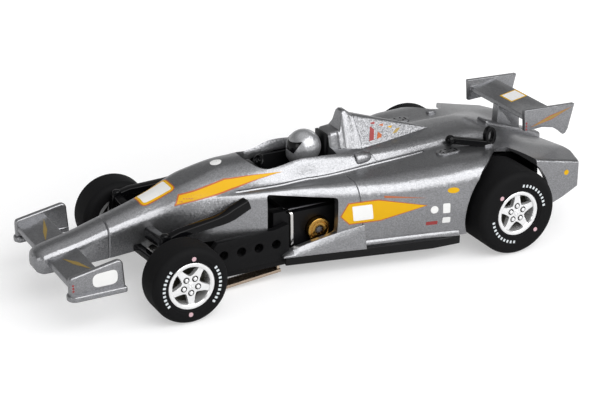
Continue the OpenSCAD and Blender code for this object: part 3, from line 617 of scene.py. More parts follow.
def bar(name, path, sizes, material, ref=(0, 0, 1), closed=False):
    """A moulded bar along a path with a rounded section of (wide, tall) at each point and round ends."""
    points = [Vector(p) for p in path]
    count = len(points)
    rings = []
    for i, p in enumerate(points):
        after, before = ((i + 1) % count, i - 1) if closed else (min(i + 1, count - 1), max(i - 1, 0))
        heading = (points[after] - points[before]).normalized()
        side = heading.cross(Vector(ref)).normalized()
        up = side.cross(heading)
        wide, tall = sizes[i] if len(sizes) > 1 else sizes[0]
        w, h = wide / 2, tall / 2
        section = rounded([(w, h), (-w, h), (-w, -h), (w, -h)], BAR_ROUND * min(wide, tall), 6)
        ring = [p + side * a + up * b for a, b in section]
        for cap in (0, count - 1):
            if i == cap and not closed:
                tip = p + heading * (BAR_TIP if cap else -BAR_TIP)
                small = [tip + (q - p) * BAR_TAPER for q in ring]
                rings += [ring, small] if cap else [small, ring]
                break
        else:
            rings.append(ring)
    return loft(name, rings, material, closed)


def ball(name, at, radius, material):
    return spin(name, arc(0, 0, radius, 180, 0, 13), at, (0, 0, 1), 28, material)


def polished(node, name, width, angle=25):
    """A copy of a CAD node with its edges rounded, still in the node's own form."""
    copy = bpy.data.objects.new(name, frame["nodes"][node].data.copy())
    scene.collection.objects.link(copy)
    copy.data.materials.clear()
    copy.data.transform(Matrix.Scale(1 / MM, 4))

    def weld(bm):
        bmesh.ops.remove_doubles(bm, verts=bm.verts, dist=CAD_WELD)
        bmesh.ops.dissolve_limit(bm, angle_limit=math.radians(CAD_FLAT), verts=bm.verts, edges=bm.edges)
    rework(copy, weld)
    return soften(copy, width, angle=angle)


print("helpers ready")

# %% [markdown]
# ## Body shell
# The moulded shell is one flowing skin, so it is lofted through a short table of half sections. Each section is
# a chain from the lower edge up to the crown, with the four corners between them rounded, and cubic steps that
# never overshoot carry each column from row to row. Openings are then cut as the mould's slides would leave
# them.

# %% Body sections
SILL_Z = 3.1
WALL = 0.9
SEAM_T = -0.39
TAIL_T = 1.875
STATION_GAP = 0.012
FLANK_K, ROOT_K, COWL_K = 0.42, 0.25, 0.42
# Columns: station, edge y z, flank y z, shoulder y z, root y z, cowl y z, crown z, shoulder rounding
SECTIONS = np.array([
    [-1.000, 0.6, 5.3, 0.8, 5.7, 0.8, 6.2, 0.7, 6.5, 0.4, 6.7, 6.7, 0.42],
    [-0.980, 1.3, 4.9, 1.5, 5.6, 1.5, 6.4, 1.25, 6.8, 0.7, 7.05, 7.12, 0.45],
    [-0.925, 1.7, 4.7, 1.95, 5.6, 2.0, 6.6, 1.65, 7.1, 0.95, 7.45, 7.55, 0.45],
    [-0.645, 1.8, 4.9, 2.1, 5.9, 2.2, 7.3, 1.85, 7.95, 1.1, 8.4, 8.55, 0.45],
    [-0.390, 1.9, 5.1, 2.2, 6.4, 2.35, 8.2, 2.0, 8.95, 1.2, 9.5, 9.65, 0.45],
    [0.000, 2.2, 5.5, 2.8, 6.8, 2.85, 9.4, 2.5, 10.25, 1.5, 11.2, 11.35, 0.45],
    [0.128, 5.0, SILL_Z, 5.2, 7.4, 4.2, 11.0, 3.8, 11.8, 2.2, 13.2, 13.2, 0.42],
    [0.242, 6.4, SILL_Z, 6.5, 8.0, 6.0, 11.6, 4.9, 11.7, 2.2, 14.0, 14.3, 0.42],
    [0.355, 7.6, SILL_Z, 7.6, 7.0, 7.2, 11.8, 5.0, 11.5, 3.3, 13.9, 14.4, 0.42],
    [0.430, 8.2, SILL_Z, 8.4, 6.6, 7.9, 11.6, 5.1, 11.6, 4.0, 14.4, 14.5, 0.42],
    [0.500, 8.7, SILL_Z, 9.1, 6.5, 8.5, 11.35, 5.2, 11.55, 4.0, 14.1, 14.3, 0.42],
    [0.634, 9.9, SILL_Z, 10.5, 6.8, 9.8, 11.2, 5.0, 11.75, 3.8, 13.3, 13.5, 0.42],
    [0.769, 11.2, SILL_Z, 11.9, 7.1, 11.0, 11.6, 4.8, 11.95, 3.6, 13.1, 13.3, 0.42],
    [0.881, 12.3, SILL_Z, 13.0, 7.4, 11.9, 12.3, 4.5, 12.1, 3.4, 13.1, 13.3, 0.42],
    [1.000, 12.4, SILL_Z, 12.9, 7.5, 12.1, 12.3, 4.5, 12.15, 3.2, 13.1, 13.4, 0.35],
    [1.346, 12.2, 4.0, 12.3, 8.0, 12.3, 11.2, 7.0, 11.6, 3.0, 12.2, 12.3, 0.15],
    [1.605, 12.2, 5.1, 12.2, 8.0, 12.2, 10.4, 7.6, 10.9, 3.0, 10.7, 10.7, 0.15],
    [1.875, 12.1, 6.8, 12.2, 8.2, 12.2, 9.6, 8.0, 10.15, 3.0, 9.6, 9.3, 0.15]])


def along(t):
    """Station t as a place: -1 at the nose, 0 and 1 at the axles, 2 at the tail."""
    return float(np.interp(t, (-1, 0, 1, 2), (nose_x, front_x, rear_x, tail_x)))


row_x = np.array([along(t) for t in SECTIONS[:, 0]])
rise = np.diff(SECTIONS, axis=0) / np.diff(row_x)[:, None]
before = np.vstack([rise[:1], rise])
after = np.vstack([rise, rise[-1:]])
same_way = before * after > 0
slope = np.where(same_way, 2 * before * after / np.where(same_way, before + after, 1), 0)


def section_row(t):
    """Every column of the table at station t, by cubic steps between its rows."""
    i = int(np.clip(np.searchsorted(SECTIONS[:, 0], t, side="right") - 1, 0, len(SECTIONS) - 2))
    h = row_x[i + 1] - row_x[i]
    u = (along(t) - row_x[i]) / h
    return ((2 * u**3 - 3 * u**2 + 1) * SECTIONS[i] + (u**3 - 2 * u**2 + u) * h * slope[i]
            + (3 * u**2 - 2 * u**3) * SECTIONS[i + 1] + (u**3 - u**2) * h * slope[i + 1])


def half_section(t, inset, steps, open_below):
    """The left half section at t, from the lower edge to the crown, drawn in by an inset."""
    v = section_row(t)
    corner = np.array([
        (v[1] - inset, v[2] - open_below), (v[3] - inset, v[4]), (v[5] - inset, v[6] - inset),
        (max(v[7] - inset, 0.2), v[8] - inset), (max(v[9] - inset, 0.1), v[10] - inset), (0, v[11] - inset)])
    points = [tuple(corner[0])]
    for i, k in enumerate((FLANK_K, v[12], ROOT_K, COWL_K), 1):
        a = corner[i] + (corner[i - 1] - corner[i]) * k
        b = corner[i] + (corner[i + 1] - corner[i]) * k
        points += bend(a, corner[i], b, steps)
    return points + [tuple(corner[5])]


def body_ring(t, inset=0.0, steps=9, open_below=0.0):
    left = half_section(t, inset, steps, open_below)
    x = along(t)
    return [(x, p[0], p[1]) for p in left] + [(x, -p[0], p[1]) for p in reversed(left[:-1])]


def stations(t0, t1, steps):
    """Stations between two limits, closer where the table's rows are closer."""
    rows = SECTIONS[:, 0]
    dense = [t for a, b in zip(rows[:-1], rows[1:]) for t in np.linspace(a, b, steps, endpoint=False)]
    return [t0] + [t for t in dense if t0 + STATION_GAP < t < t1 - STATION_GAP] + [t1]


def root_at(t):
    """The valley between cowl and sidepod at station t."""
    v = section_row(t)
    return (along(t), v[7], v[8])


print("body sections:", len(SECTIONS), "rows")

# %% [markdown]
# The side windows and wheel arches are cut first. The headrest, roll hoop and engine cover rise from the shell
# as one faceted ridge, and the tail fin, tabs, vents and round filler are joined on. The cockpit is cut after
# them. The sill is joined last, and seams are fine cut lines.

# %% Body shell
PEAK_DROP = 0.05
HOOP_Z = cad_high.z / MM + PEAK_DROP
# Columns: x from the rear axle, base half width, base z, top half width, top z below the hoop
RIDGE = [
    [20.3, 2.1, 12.4, 1.3, 2.75],
    [19.9, 2.3, 12.4, 1.55, 2.5],
    [18.6, 2.8, 12.3, 1.6, 2.4],
    [18.25, 2.9, 12.3, 1.1, 1.6],
    [17.95, 3.0, 12.2, 0.8, 0.25],
    [17.7, 3.0, 12.2, 0.75, PEAK_DROP],
    [17.3, 3.1, 12.2, 0.75, 0.12],
    [17.0, 3.2, 12.2, 0.72, 0.4],
    [16.3, 3.1, 12.8, 0.6, 0.85],
    [10.3, 1.6, 12.8, 0.4, 2.9],
    [4.9, 0.35, 12.7, 0.2, 4.75]]
COCKPIT_HW, COCKPIT_L, COCKPIT_R = 3.5, 11.5, 2.4
RIM_Z, RIM_LEAN, RIM_LEAN_AHEAD, RIM_IN = 12.9, 0.45, 0.4, 0.15
JOINT_GAP = 0.1
JOINT_LEN = 0.009
VENT_HOLES, VENT_Y = 9, 6.4
VALLEY_R, COLUMN_R, LINE_R = 0.22, 0.14, 0.09
REACH = 40.0
cockpit_x = fx(-12.9)
rear_in = node_box("rear_tyre_left")[0].y


def ridge_ring(x, base_hw, base_z, top_hw, drop):
    top = np.array((top_hw, HOOP_Z - drop))
    base = np.array((base_hw, base_z))
    reach = min(0.45, 0.8 * top_hw)
    a = top + (base - top) / np.linalg.norm(base - top) * reach
    half = [tuple(base)] + bend(a, top, (top_hw - reach, top[1]), 6)
    return [(rx(x), y, z) for y, z in half] + [(rx(x), -y, z) for y, z in reversed(half)]


def cockpit_cutter():
    """The cockpit opening: upright walls below, and above them a rim that leans outward."""
    rings = []
    for z, lean in ((9.5, 0.0), (RIM_Z, 0.0), (HOOP_Z + 2, RIM_LEAN * (HOOP_Z + 2 - RIM_Z))):
        wide = COCKPIT_HW - RIM_IN + lean
        ahead = COCKPIT_R + RIM_LEAN_AHEAD * lean
        ring = [(cockpit_x - COCKPIT_R + ahead * math.cos(a), wide * math.sin(a), z)
                for a in np.linspace(-math.pi / 2, math.pi / 2, 33)]
        rings.append(ring + [(cockpit_x - COCKPIT_L, wide, z), (cockpit_x - COCKPIT_L, -wide, z)])
    return loft("cockpit_cutter", rings, silver_paint)


def slot_outline(x0, x1, y, radius):
    """A slot with round ends, in plan."""
    return arc(x1, y, radius, 90, -90, 13) + arc(x0, y, radius, -90, -270, 13)


skin_rings = [body_ring(SEAM_T, JOINT_GAP)]
skin_rings += [body_ring(t) for t in stations(SEAM_T + JOINT_LEN, TAIL_T, 8)]
body = loft("body_skin", skin_rings, silver_paint)
hollow = [body_ring(t, WALL, 5, 3.0) for t in stations(0.03, TAIL_T - 0.067, 4)]
combine(body, loft("hollow", hollow, tub_black))
window = [(-1.3, -1), (-1.3, 5.8), (-5.5, 6.1), (-13, 6.7), (-13.2, 11.35), (-22, 9.95), (-21.7, SILL_Z + 2.2),
          (-15, SILL_Z + 0.3), (-15, -1)]
window = rounded([(fx(x), z) for x, z in window], 0.45)
combine(body, prism("window", window, "y", -REACH, REACH, silver_paint))
arch = disc(rear_x, rear_z, rear_z + 0.9)
on_both_sides(body, prism("wheel_arch", arch, "y", rear_in - 0.5, REACH, silver_paint))
plan = [(5.2, REACH), (4.9, 12.6), (2.6, 11.3), (0.5, 9.3), (-0.6, 8.2), (-2.3, 8.0), (-3.2, 9.5), (-4.3, 12.2),
        (-4.6, REACH)]
plan = rounded([(rx(x), y) for x, y in plan], 0.5)
on_both_sides(body, prism("arch_top", plan, "z", rear_z, REACH, silver_paint))
liner = [(rx(-4.9), 2.6), (rx(-4.9), 10.9), (rx(-5.4), 10.9), (rx(-5.4), 2.6)]
on_both_sides(body, prism("liner", liner, "z", 6.5, 11.0, tub_black), "UNION")

ridge = loft("ridge", [ridge_ring(*row) for row in RIDGE], silver_paint)
combine(ridge, cockpit_cutter())
combine(body, ridge, "UNION")
fin = [(rx(-3.7), 11.6), (rx(-3.7), 13), (rx(-12.55), 9.8), (rx(-12.55), 8.2)]
combine(body, soften(prism("tail_fin", fin, "y", -1.15, 1.15, silver_paint), 0.25, 3), "UNION")
tab = [(rx(-0.7), 11.5), (rx(-0.7), 12.5), (rx(0.5), 12.5), (rx(0.5), 11.5)]
on_both_sides(body, soften(prism("tab", tab, "y", 6.55, 7.45, silver_paint), 0.15), "UNION")
vent = slot_outline(rx(4.6), rx(6.3), VENT_Y, 0.85)
vent = soften(prism("vent", vent, "z", 11.5, 12.32, silver_paint), 0.08)
for k in range(VENT_HOLES):
    a = 2 * math.pi * k / VENT_HOLES
    hole = disc(rx(5.45) + 1.2 * math.cos(a), VENT_Y + 0.5 * math.sin(a), 0.15, 16)
    # The holes' floors take the black tub finish: painted shade in these shallow holes.
    combine(vent, prism("vent_hole", hole, "z", 12.2, 13, tub_black))
on_both_sides(body, vent, "UNION")
bowl = [(0.5, 0), (0.45, 0.3), (0.1, 0.55), (0, 0.66), (0.05, 0.78), (0.2, 0.88), (0.5, 0.92), (1.6, 0.86),
        (2.3, 0.6), (2.5, 0.3), (2.5, 0)]
combine(body, spin("filler", bowl, (rx(17.9), 3.95, 12.45), (-1, -0.07, 0), 40, silver_paint), "UNION")
combine(body, cockpit_cutter())
tail = [(rx(-11.9), 8.8), (rx(-10.9), 12.3), (rx(-10.7), REACH), (rx(-14), REACH), (rx(-14), 8.8)]
on_both_sides(body, prism("tail_corner", tail, "z", 0, REACH, silver_paint))
combine(body, prism("axle_hole", disc(front_x, front_z, 1.2, 32), "y", -REACH, REACH, silver_paint))
print("body cut and joined:", len(body.data.polygons), "faces")

# %% Sill and seams
BLADE_PROUD, LIP_PROUD = 0.8, 0.25
SILL_FOOT, SILL_IN, SILL_TOP_SHARE = 0.25, 0.5, 0.25


def side_y(t, z):
    """How far out the lower flank lies at station t and height z."""
    v = section_row(t)
    return v[1] + (v[3] - v[1]) * (z - v[2]) / (v[4] - v[2])


def sill_ring(t, top, proud):
    """A section of the raised sill, whose face leans out toward its foot."""
    foot, head = side_y(t, SILL_Z), side_y(t, top)
    x = along(t)
    outer = head + proud
    return [(x, outer, SILL_Z), (x, outer, SILL_Z + SILL_FOOT), (x, head + SILL_TOP_SHARE * proud, top),
            (x, head - SILL_IN, top), (x, foot - SILL_IN, SILL_Z)]


blade_end = (front_x + 3.5) / (front_x - rear_x)
# Columns: station, height of the blade's upper edge
BLADE = [(0.328, 3.25), (0.337, 3.5), (0.36, 3.95), (0.40, 4.5), (0.45, 5.1), (0.50, 5.65), (blade_end, 6.2)]
blade = loft("sill_blade", [sill_ring(t, top, BLADE_PROUD) for t, top in BLADE], silver_paint)
on_both_sides(body, soften(blade, 0.12, 3, 40), "UNION")
lip = [sill_ring(t, 3.8, LIP_PROUD) for t in np.linspace(blade_end - 0.01, 0.84, 8)]
lip = loft("sill_lip", lip, silver_paint)
on_both_sides(body, soften(lip, 0.08, 2, 40), "UNION")
body_faces = surface(body)

column = [(rx(19.0), 1.45, 15.6), (rx(19.0), 2.0, 14.2), (rx(19.0), 2.6, 12.8)]
valley = [root_at(t) for t in np.linspace(0.22, 0.82, 41)]
pod_line = [(-2.9, 5.9, 11.8), (-3.0, 7.5, 11.4), (-3.1, 8.8, 10.7), (-3.2, 9.1, 9.5), (-3.3, 9.4, 7),
            (-3.5, 9.4, 5.4), (-3.6, 9.4, 3.9), (-4.0, 9.4, 3.3)]
hoop_line = [(-6.6, 0.2, 17.4), (-6.9, 1.5, 15.6), (-7.1, 3.0, 13.6), (-7.6, 4.1, 12.7), (-8.1, 4.8, 11.9)]
for side in (1, -1):
    for path, radius in ((column, COLUMN_R), (valley, VALLEY_R), (pod_line, LINE_R), (hoop_line, LINE_R)):
        seam(body, [(x, side * y, z) for x, y, z in path], radius)
rework(body, tidy_mesh)
place(body, "car", replaces=["body_shell"])
print("body skin:", len(body.data.polygons), "faces")

# %% [markdown]
# ## Nose and front wing
# The nose is the front of the same loft. The wing's planes and endplates are slabs with soft moulded edges, and
# a skid rail runs along the foot of each endplate.

# %% Nose
FRONT_PLANE = [(13.7, 6.1), (13.5, 6.6), (12.3, 6.75), (9.9, 7.5), (9.9, 7.1), (12.2, 6.05), (13.4, 5.6)]
FRONT_PLATE = [(13.8, 5), (13.8, 7.1), (13.6, 7.4), (7.6, 8.5), (7.1, 8.2), (6.9, 5)]
FRONT_WING_HW, PLATE_T, FOOT_W, FOOT_Z, FOOT_T = 9.8, 0.75, 1.05, 4.5, 0.75
mid = FRONT_WING_HW - PLATE_T / 2
nose_rings = [body_ring(t) for t in stations(-1, SEAM_T - JOINT_LEN, 10)]
nose = loft("nose_skin", nose_rings + [body_ring(SEAM_T, JOINT_GAP)], silver_paint)
plane = prism("plane", [(fx(x), z) for x, z in FRONT_PLANE], "y", 1.2, mid, silver_paint)
on_both_sides(nose, soften(plane, 0.12), "UNION")
plate = rounded([(fx(x), z) for x, z in FRONT_PLATE], 0.3)
plate = prism("plate", plate, "y", FRONT_WING_HW - PLATE_T, FRONT_WING_HW, silver_paint)
on_both_sides(nose, soften(plate, 0.22, 4), "UNION")
foot = arc(fx(13), mid, FOOT_W, -60, 90, 14) + [(fx(6.9), mid + FOOT_W), (fx(6.9), mid - PLATE_T / 2)]
foot = prism("foot", foot, "z", FOOT_Z, FOOT_Z + FOOT_T, silver_paint)
on_both_sides(nose, soften(foot, 0.28, 4), "UNION")
rework(nose, tidy_mesh)
nose_faces = surface(nose)
place(nose, "car", replaces=["nose_cone"])
print("nose:", len(nose.data.polygons), "faces")

# %% [markdown]
# ## Helmet
# The helmet is a ball with a chin bar, and a fine upright mould line runs down each side. One formula gives its
# distance from the centre in every direction, so helmet and visor share the same curve.

# %% Helmet
low, high = node_box("driver_helmet")
HELMET_R = 2.2
helmet_at = Vector((low.x + HELMET_R, 0, high.z - HELMET_R))
NECK_LOW = -68
NECK_SHARE = 0.85
MOULD_LINE, LINE_DEEP, LINE_WIDE, LINE_LOW = 140, 0.05, 2.2, -50
CHIN_OUT, CHIN_AT, CHIN_TALL, CHIN_SPREAD = 0.42, -38, 26, 1.6
VISOR_PROUD, VISOR_SUNK = 0.04, -0.12


def helmet_point(turn, lift, grow=0.0):
    """A point on the helmet: turn from straight ahead to the left, and lift above level, in degrees."""
    ahead = max(0.0, math.cos(math.radians(turn / CHIN_SPREAD)))
    chin = CHIN_OUT * ahead**3 * math.exp(-(((lift - CHIN_AT) / CHIN_TALL) ** 2))
    line = LINE_DEEP * math.exp(-(((abs(turn) - MOULD_LINE) / LINE_WIDE) ** 2)) if lift > LINE_LOW else 0.0
    r = HELMET_R + chin - line + grow
    a, b = math.radians(turn), math.radians(lift)
    return helmet_at + Vector((math.cos(a) * math.cos(b), math.sin(a) * math.cos(b), math.sin(b))) * r


lifts = np.linspace(NECK_LOW, 89.5, 60)
rings = [[helmet_point(turn, lift) for turn in np.linspace(-180, 180, 181)[:-1]] for lift in lifts]
neck_x = helmet_at.x * (1 - NECK_SHARE)
neck = [[Vector((p.x * NECK_SHARE + neck_x, p.y * NECK_SHARE, low.z)) for p in rings[0]]]
helmet = loft("helmet_shell", neck + rings, helmet_paint)
place(helmet, "car", replaces=["driver_helmet"], sharp=50)


def visor_edge(u, v):
    """A place on the visor: u from its top to its lower edge, v from -1 on the right to 1 on the left."""
    turn = v * (57 - 28 * u)
    top = 27 + 7 * abs(v) ** 1.5
    return turn, top + u * (-1 - 6 * abs(v) ** 1.5 - top)


def visor_sheet(grow):
    """Rows of the visor's points from its top to its lower edge, at a height over the helmet."""
    return [[helmet_point(*visor_edge(u, v), grow) for v in np.linspace(-1, 1, 61)]
            for u in np.linspace(0, 1, 17)]


visor_rings = [front + back[::-1] for front, back in zip(visor_sheet(VISOR_PROUD), visor_sheet(VISOR_SUNK))]
visor = loft("helmet_visor", visor_rings, visor_black)
place(soften(visor, 0.03, 2, 50), "car", sharp=50)
print("helmet at", [round(v, 2) for v in helmet_at])

# %% [markdown]
# ## Plain moulded and turned pieces
# The other CAD nodes already have the right form. Each gets a copy with softened edges, because no moulded or
# pressed edge is razor sharp, and the finish of its own material.

# %% Polished pieces
# Columns: node, finish, slot, body, edge rounding
PLAIN = [
    ("rear_wing", silver_paint, "silver_body", "car", 0.24),
    ("cockpit_tray", tub_black, "black_tub", "car", 0.08),
    ("steering_wheel", arm_black, "black_tub", "car", 0.03),
    ("chassis", chassis_black, "black_chassis", "car", 0.1),
    ("floor_pan", visor_black, "black_chassis", "car", 0.16),
    ("motor", can_steel, "motor_steel", "car", 0.12),
    ("traction_magnets", magnet_grey, "magnet_dark", "car", 0.1),
    ("pinion_shaft", brass, "gear_brass", "motor_shaft", 0.02),
    ("crown_gear", acetal, "gear_plastic", "rear_wheelset", 0.03),
    ("front_axle", bright_steel, "axle_steel", "front_wheelset", 0.06),
    ("rear_axle", bright_steel, "axle_steel", "rear_wheelset", 0.06)]
faces_of = {"body": body_faces, "nose": nose_faces}
for node, material, slot, carrier, width in PLAIN:
    piece = polished(node, node + "_finished", width)
    faces_of[node] = surface(piece)
    place(piece, carrier, material, [node])
print("polished pieces:", len(PLAIN))

# %% [markdown]
# ## Suspension arms and exhaust
# The arms are thick glossy bars with round edges, moulded with their upright. The exhaust is a bar with a ball
# at its front end, and its outlet is an upright oval loop.

# %% Arms and exhaust
low, high = node_box("front_suspension_left")
apex_y = high.y - 0.5
upper = [(fx(0.3), apex_y, 8.9), (fx(-0.8), apex_y - 0.1, 9.2)]
upper += bend((fx(-5.4), 7.0, 9.5), (fx(-7.4), 6.85, 9.6), (fx(-8.4), 6.75, 10.05), 7)
upper += [(fx(-10.5), 6.5, 10.8)]
upper_size = [(1.2, 0.85), (1.2, 0.85)] + [(1.4, tall) for tall in np.linspace(1.1, 1.5, 7)] + [(1.4, 1.35)]
upright = [(-1.4, -1.6), (1.2, -1.6), (2.2, 0.8), (1.4, 4.3), (-1.2, 4.5)]
upright = rounded([(fx(x), front_z + z) for x, z in upright], 0.5)
upright = prism("upright", upright, "y", high.y - 1.0, high.y, arm_black)
combine(upright, prism("axle_room", disc(front_x, front_z, 1.1, 40), "y", 0, REACH, arm_black))
arms = [
    soften(upright, 0.18, 3),
    bar("upper_arm", upper, upper_size, arm_black),
    bar("cross_arm", [(fx(0.8), 2.5, 7.8), (fx(0.8), apex_y, 8.2)], [(1.2, 1.5)], arm_black),
    bar("lower_arm", [(fx(2.3), 2.2, 5.95), (fx(1.8), apex_y, 5.95)], [(1.0, 0.9)], arm_black),
    spin("pivot", [(8.0, 0), (8.0, 0.55), (9.2, 0.55)] + arc(9.2, 0.2, 0.35, 90, 0, 6) + [(9.55, 0)],
         (fx(0.9), apex_y - 0.1, 0), (0, 0, 1), 32, arm_black)]
arm_left = gather("front_suspension_left_bars", arms)
arm_right = mirrored(arm_left, "front_suspension_right_bars")
place(arm_left, "car", replaces=["front_suspension_left"])
place(arm_right, "car", replaces=["front_suspension_right"])

pipe_front, pipe_back = (rx(4.1), 4.7, 12.95), (rx(0.1), 7.0, 12.55)
oval = [(rx(-0.4) + 0.6 * p, 7.0, 13.5 + 1.02 * q) for p, q in disc(0, 0, 1, 40)]
exhaust = [
    ball("pipe_ball", pipe_front, 0.66, arm_black),
    bar("pipe", [pipe_front, pipe_back], [(0.9, 0.9)], arm_black),
    bar("outlet", oval, [(0.5, 0.75)], arm_black, (0, 1, 0), True)]
place(gather("exhaust_pipe_loop", exhaust), "car", replaces=["exhaust_pipe"])
print("arms and exhaust done")

# %% [markdown]
# ## Brushes and pickup shoes
# A brush barrel is a turned brass tube. Its end is a cap with a milled rim round a dark star-shaped brush. The
# pickup shoe is a copper strip with fine ribs pressed across it, and the contact strip is a bent spring.

# %% Brushes and shoes
MILLED, MILL_OUT, MILL_IN = 28, 0.42, 0.6
STAR_POINTS, STAR_OUT, STAR_IN = 8, 0.56, 0.26
SHOE_RISE, SHOE_RUN = 1.05 - 0.35, 14.6 - 6.9
RIB_PITCH, RIB_HW, RIB_LOW, RIB_TALL, RIB_PROUD = 0.36, 0.09, 0.03, 0.38, 0.04
for word, side in (("left", 1), ("right", -1)):
    node = f"brush_barrel_{word}"
    low, high = node_box(node)
    at = ((low.x + high.x) / 2, 0, (low.z + high.z) / 2)
    near, far = sorted((abs(low.y), abs(high.y)))
    r = (high.z - low.z) / 2
    tube = [(near, 0), (near, r), (far - 0.14, r)] + arc(far - 0.14, r - 0.14, 0.14, 90, 0, 4)
    tube += [(far, r - 0.3), (far - 0.1, r - 0.36), (far - 0.1, 0.62), (far - 0.45, 0.55), (far - 0.45, 0)]
    barrel = spin(node + "_turned", tube, at, (0, side, 0), 64, brass)
    rim = []
    for k in range(4 * MILLED):
        q = r - MILL_OUT if k % 4 < 2 else r - MILL_IN
        a = 2 * math.pi * k / (4 * MILLED)
        rim.append((at[0] + q * math.cos(a), at[2] + q * math.sin(a)))
    cap = prism("cap", rim, "y", *across(side, far - 0.3, far - 0.03), brass)
    hole = disc(at[0], at[2], 0.6, 32)
    combine(cap, prism("hollow", hole, "y", *across(side, near, far + 1), brass))
    barrel = gather(node + "_brass", [barrel, soften(cap, 0.03)])
    place(barrel, "car", replaces=[node])
    star = []
    for k in range(2 * STAR_POINTS):
        q = STAR_OUT if k % 2 else STAR_IN
        a = k * math.pi / STAR_POINTS
        star.append((at[0] + q * math.cos(a), at[2] + q * math.sin(a)))
    carbon = prism(node + "_brush", star, "y", *across(side, far - 0.5, far - 0.12), magnet_grey)
    place(soften(carbon, 0.03), "car")

    node = f"pickup_shoe_{word}"
    shoe = polished(node, node + "_strip", 0.05)
    low, high = node_box(node)
    ribs = []
    drop = SHOE_RISE / SHOE_RUN
    for x in np.arange(low.x + 0.5, high.x - 0.4, RIB_PITCH):
        z = low.z + (high.x - x) * drop
        foot, head = z - RIB_LOW, z + RIB_TALL
        rib = [(x - RIB_HW, foot), (x + RIB_HW, foot), (x + RIB_HW, head), (x - RIB_HW, head)]
        ribs.append(soften(prism("rib", rib, "y", low.y - RIB_PROUD, high.y + RIB_PROUD, copper), 0.03))
    place(gather(node + "_ribs", ribs), "car")
    place(shoe, "car", copper, [node])

    node = f"contact_strip_{word}"
    low, high = node_box(node)
    x, y = (low.x + high.x) / 2, side * (max(abs(low.y), abs(high.y)) - 0.13)
    top = high.z - 0.13
    hook = [(x, y, low.z), (x, y, high.z - 1.0), (x, y, high.z - 0.6)]
    hook += bend((x, y, high.z - 0.5), (x + 0.05, y, high.z - 0.15), (x + 0.2, y - side * 0.35, top), 5)
    hook += [(x + 0.3, y - side * 1.4, top)]
    spring = bar(node + "_spring", hook, [(0.24, 0.4)], bright_steel, (1, 0, 0))
    place(spring, "car", replaces=[node])
print("brushes and shoes done")

# %% [markdown]
# ## Tyres and wheels
# A tyre is turned from a profile with a flat tread and round shoulders, with plain white marks and pink dots on
# its wall. The wheel face is cut as a flat disc with five rounded windows, so that five spokes stay, and its
# edges are softened as plating softens them. Each lug sits in a shallow pocket.

# %% Tyres
# Columns: axle, body, side, angle of the first spoke, angle of the wall's marks
WHEELS = [
    ("front", "front_wheelset", 1, -90, 5),
    ("front", "front_wheelset", -1, -90, 5),
    ("rear", "rear_wheelset", 1, 90, -45),
    ("rear", "rear_wheelset", -1, 90, -45)]
RIM_R = 3.0
SHOULDER = 0.9
MARKS = 10
MARK_PITCH = 8.2
MARK_T = 0.01
MARK_W, MARK_TALL, DOT_R = 0.27, 0.36, 0.28
MARK_DEEP, MARK_IN = 0.06, 0.002
FRONT_TYRE_R = 4.85


def tyre_profile(inner, outer, r):
    """Closed section of a tyre from its inner side to its outer one."""
    bead = RIM_R + 0.02
    s = SHOULDER
    return ([(inner, bead + 0.25)] + arc(inner + s, r - s, s, 180, 90, 10) + arc(outer - s, r - s, s, 90, 0, 10)
            + [(outer, bead + 0.42), (outer - 0.06, bead + 0.36)]
            + arc(outer - 0.2, bead + 0.14, 0.14, 0, -90, 5)
            + arc(inner + 0.25, bead + 0.25, 0.25, 270, 180, 5))


def wall_patch(x, y, z, radius, angle, wide, tall):
    """A four-sided mark on a tyre's wall, its long side along the radius."""
    a = math.radians(angle)
    out = Vector((math.cos(a), 0, math.sin(a)))
    turn = Vector((-math.sin(a), 0, math.cos(a)))
    middle = Vector((x, y, z)) + out * radius
    corners = ((-1, -1), (-1, 1), (1, 1), (1, -1))
    return [middle + out * (p * tall / 2) + turn * (q * wide / 2) for p, q in corners]


for axle, carrier, side, _, marks_at in WHEELS:
    word = "left" if side > 0 else "right"
    node = f"{axle}_tyre_{word}"
    low, high = node_box(node)
    x, z, r = (low.x + high.x) / 2, (low.z + high.z) / 2, (high.z - low.z) / 2
    near, far = sorted((abs(low.y), abs(high.y)))
    tyre = spin(node + "_soft", tyre_profile(near, far - MARK_T, r), (x, 0, z), (0, side, 0), 128, rubber)
    place(tyre, carrier, replaces=[node])
    mark_r = RIM_R + 0.6 + 0.25 * (r - FRONT_TYRE_R)
    marks = []
    for half_turn in (0, 180):
        for k in range(MARKS):
            angle = 180 + marks_at + half_turn + (k - (MARKS - 1) / 2) * MARK_PITCH
            quads = [wall_patch(x, side * (far - deep), z, mark_r, angle, MARK_W, MARK_TALL)
                     for deep in (MARK_DEEP, MARK_IN)]
            marks.append(loft("mark", quads, tyre_white))
    place(gather(node + "_marks", marks), carrier)
    dots = []
    for half_turn in (90, 270):
        a = math.radians(180 + marks_at + half_turn)
        dot_r = mark_r - 0.05
        dot = disc(x + dot_r * math.cos(a), z + dot_r * math.sin(a), DOT_R, 20)
        dots.append(prism("dot", dot, "y", *across(side, far - MARK_DEEP, far - MARK_IN), tyre_pink))
    place(gather(node + "_dots", dots), carrier)
print("tyres:", len(WHEELS))

# %% Wheels
SPOKES = 5
LUG_AT = 0.95
WINDOW_HALF, WINDOW_POWER = 28, 0.5
FACE_SET, FACE_DEEP = 0.28, 0.95
POCKET_R, POCKET_DEEP = 0.4, 0.28


def wheel_window(x, z, k, turn, ring_r, hub_r):
    """One window between two spokes: wide at the ring, round toward the hub."""
    middle = math.radians(turn + (k + 0.5) * 360 / SPOKES)
    wide = math.radians(WINDOW_HALF)
    rim = [(ring_r, a) for a in np.linspace(-wide, wide, 11)]
    back = [(ring_r - (ring_r - hub_r) * math.sin(math.pi * u) ** WINDOW_POWER, wide * (1 - 2 * u))
            for u in np.linspace(0, 1, 17)[1:-1]]
    return [(x + r * math.cos(middle + a), z + r * math.sin(middle + a)) for r, a in rim + back]


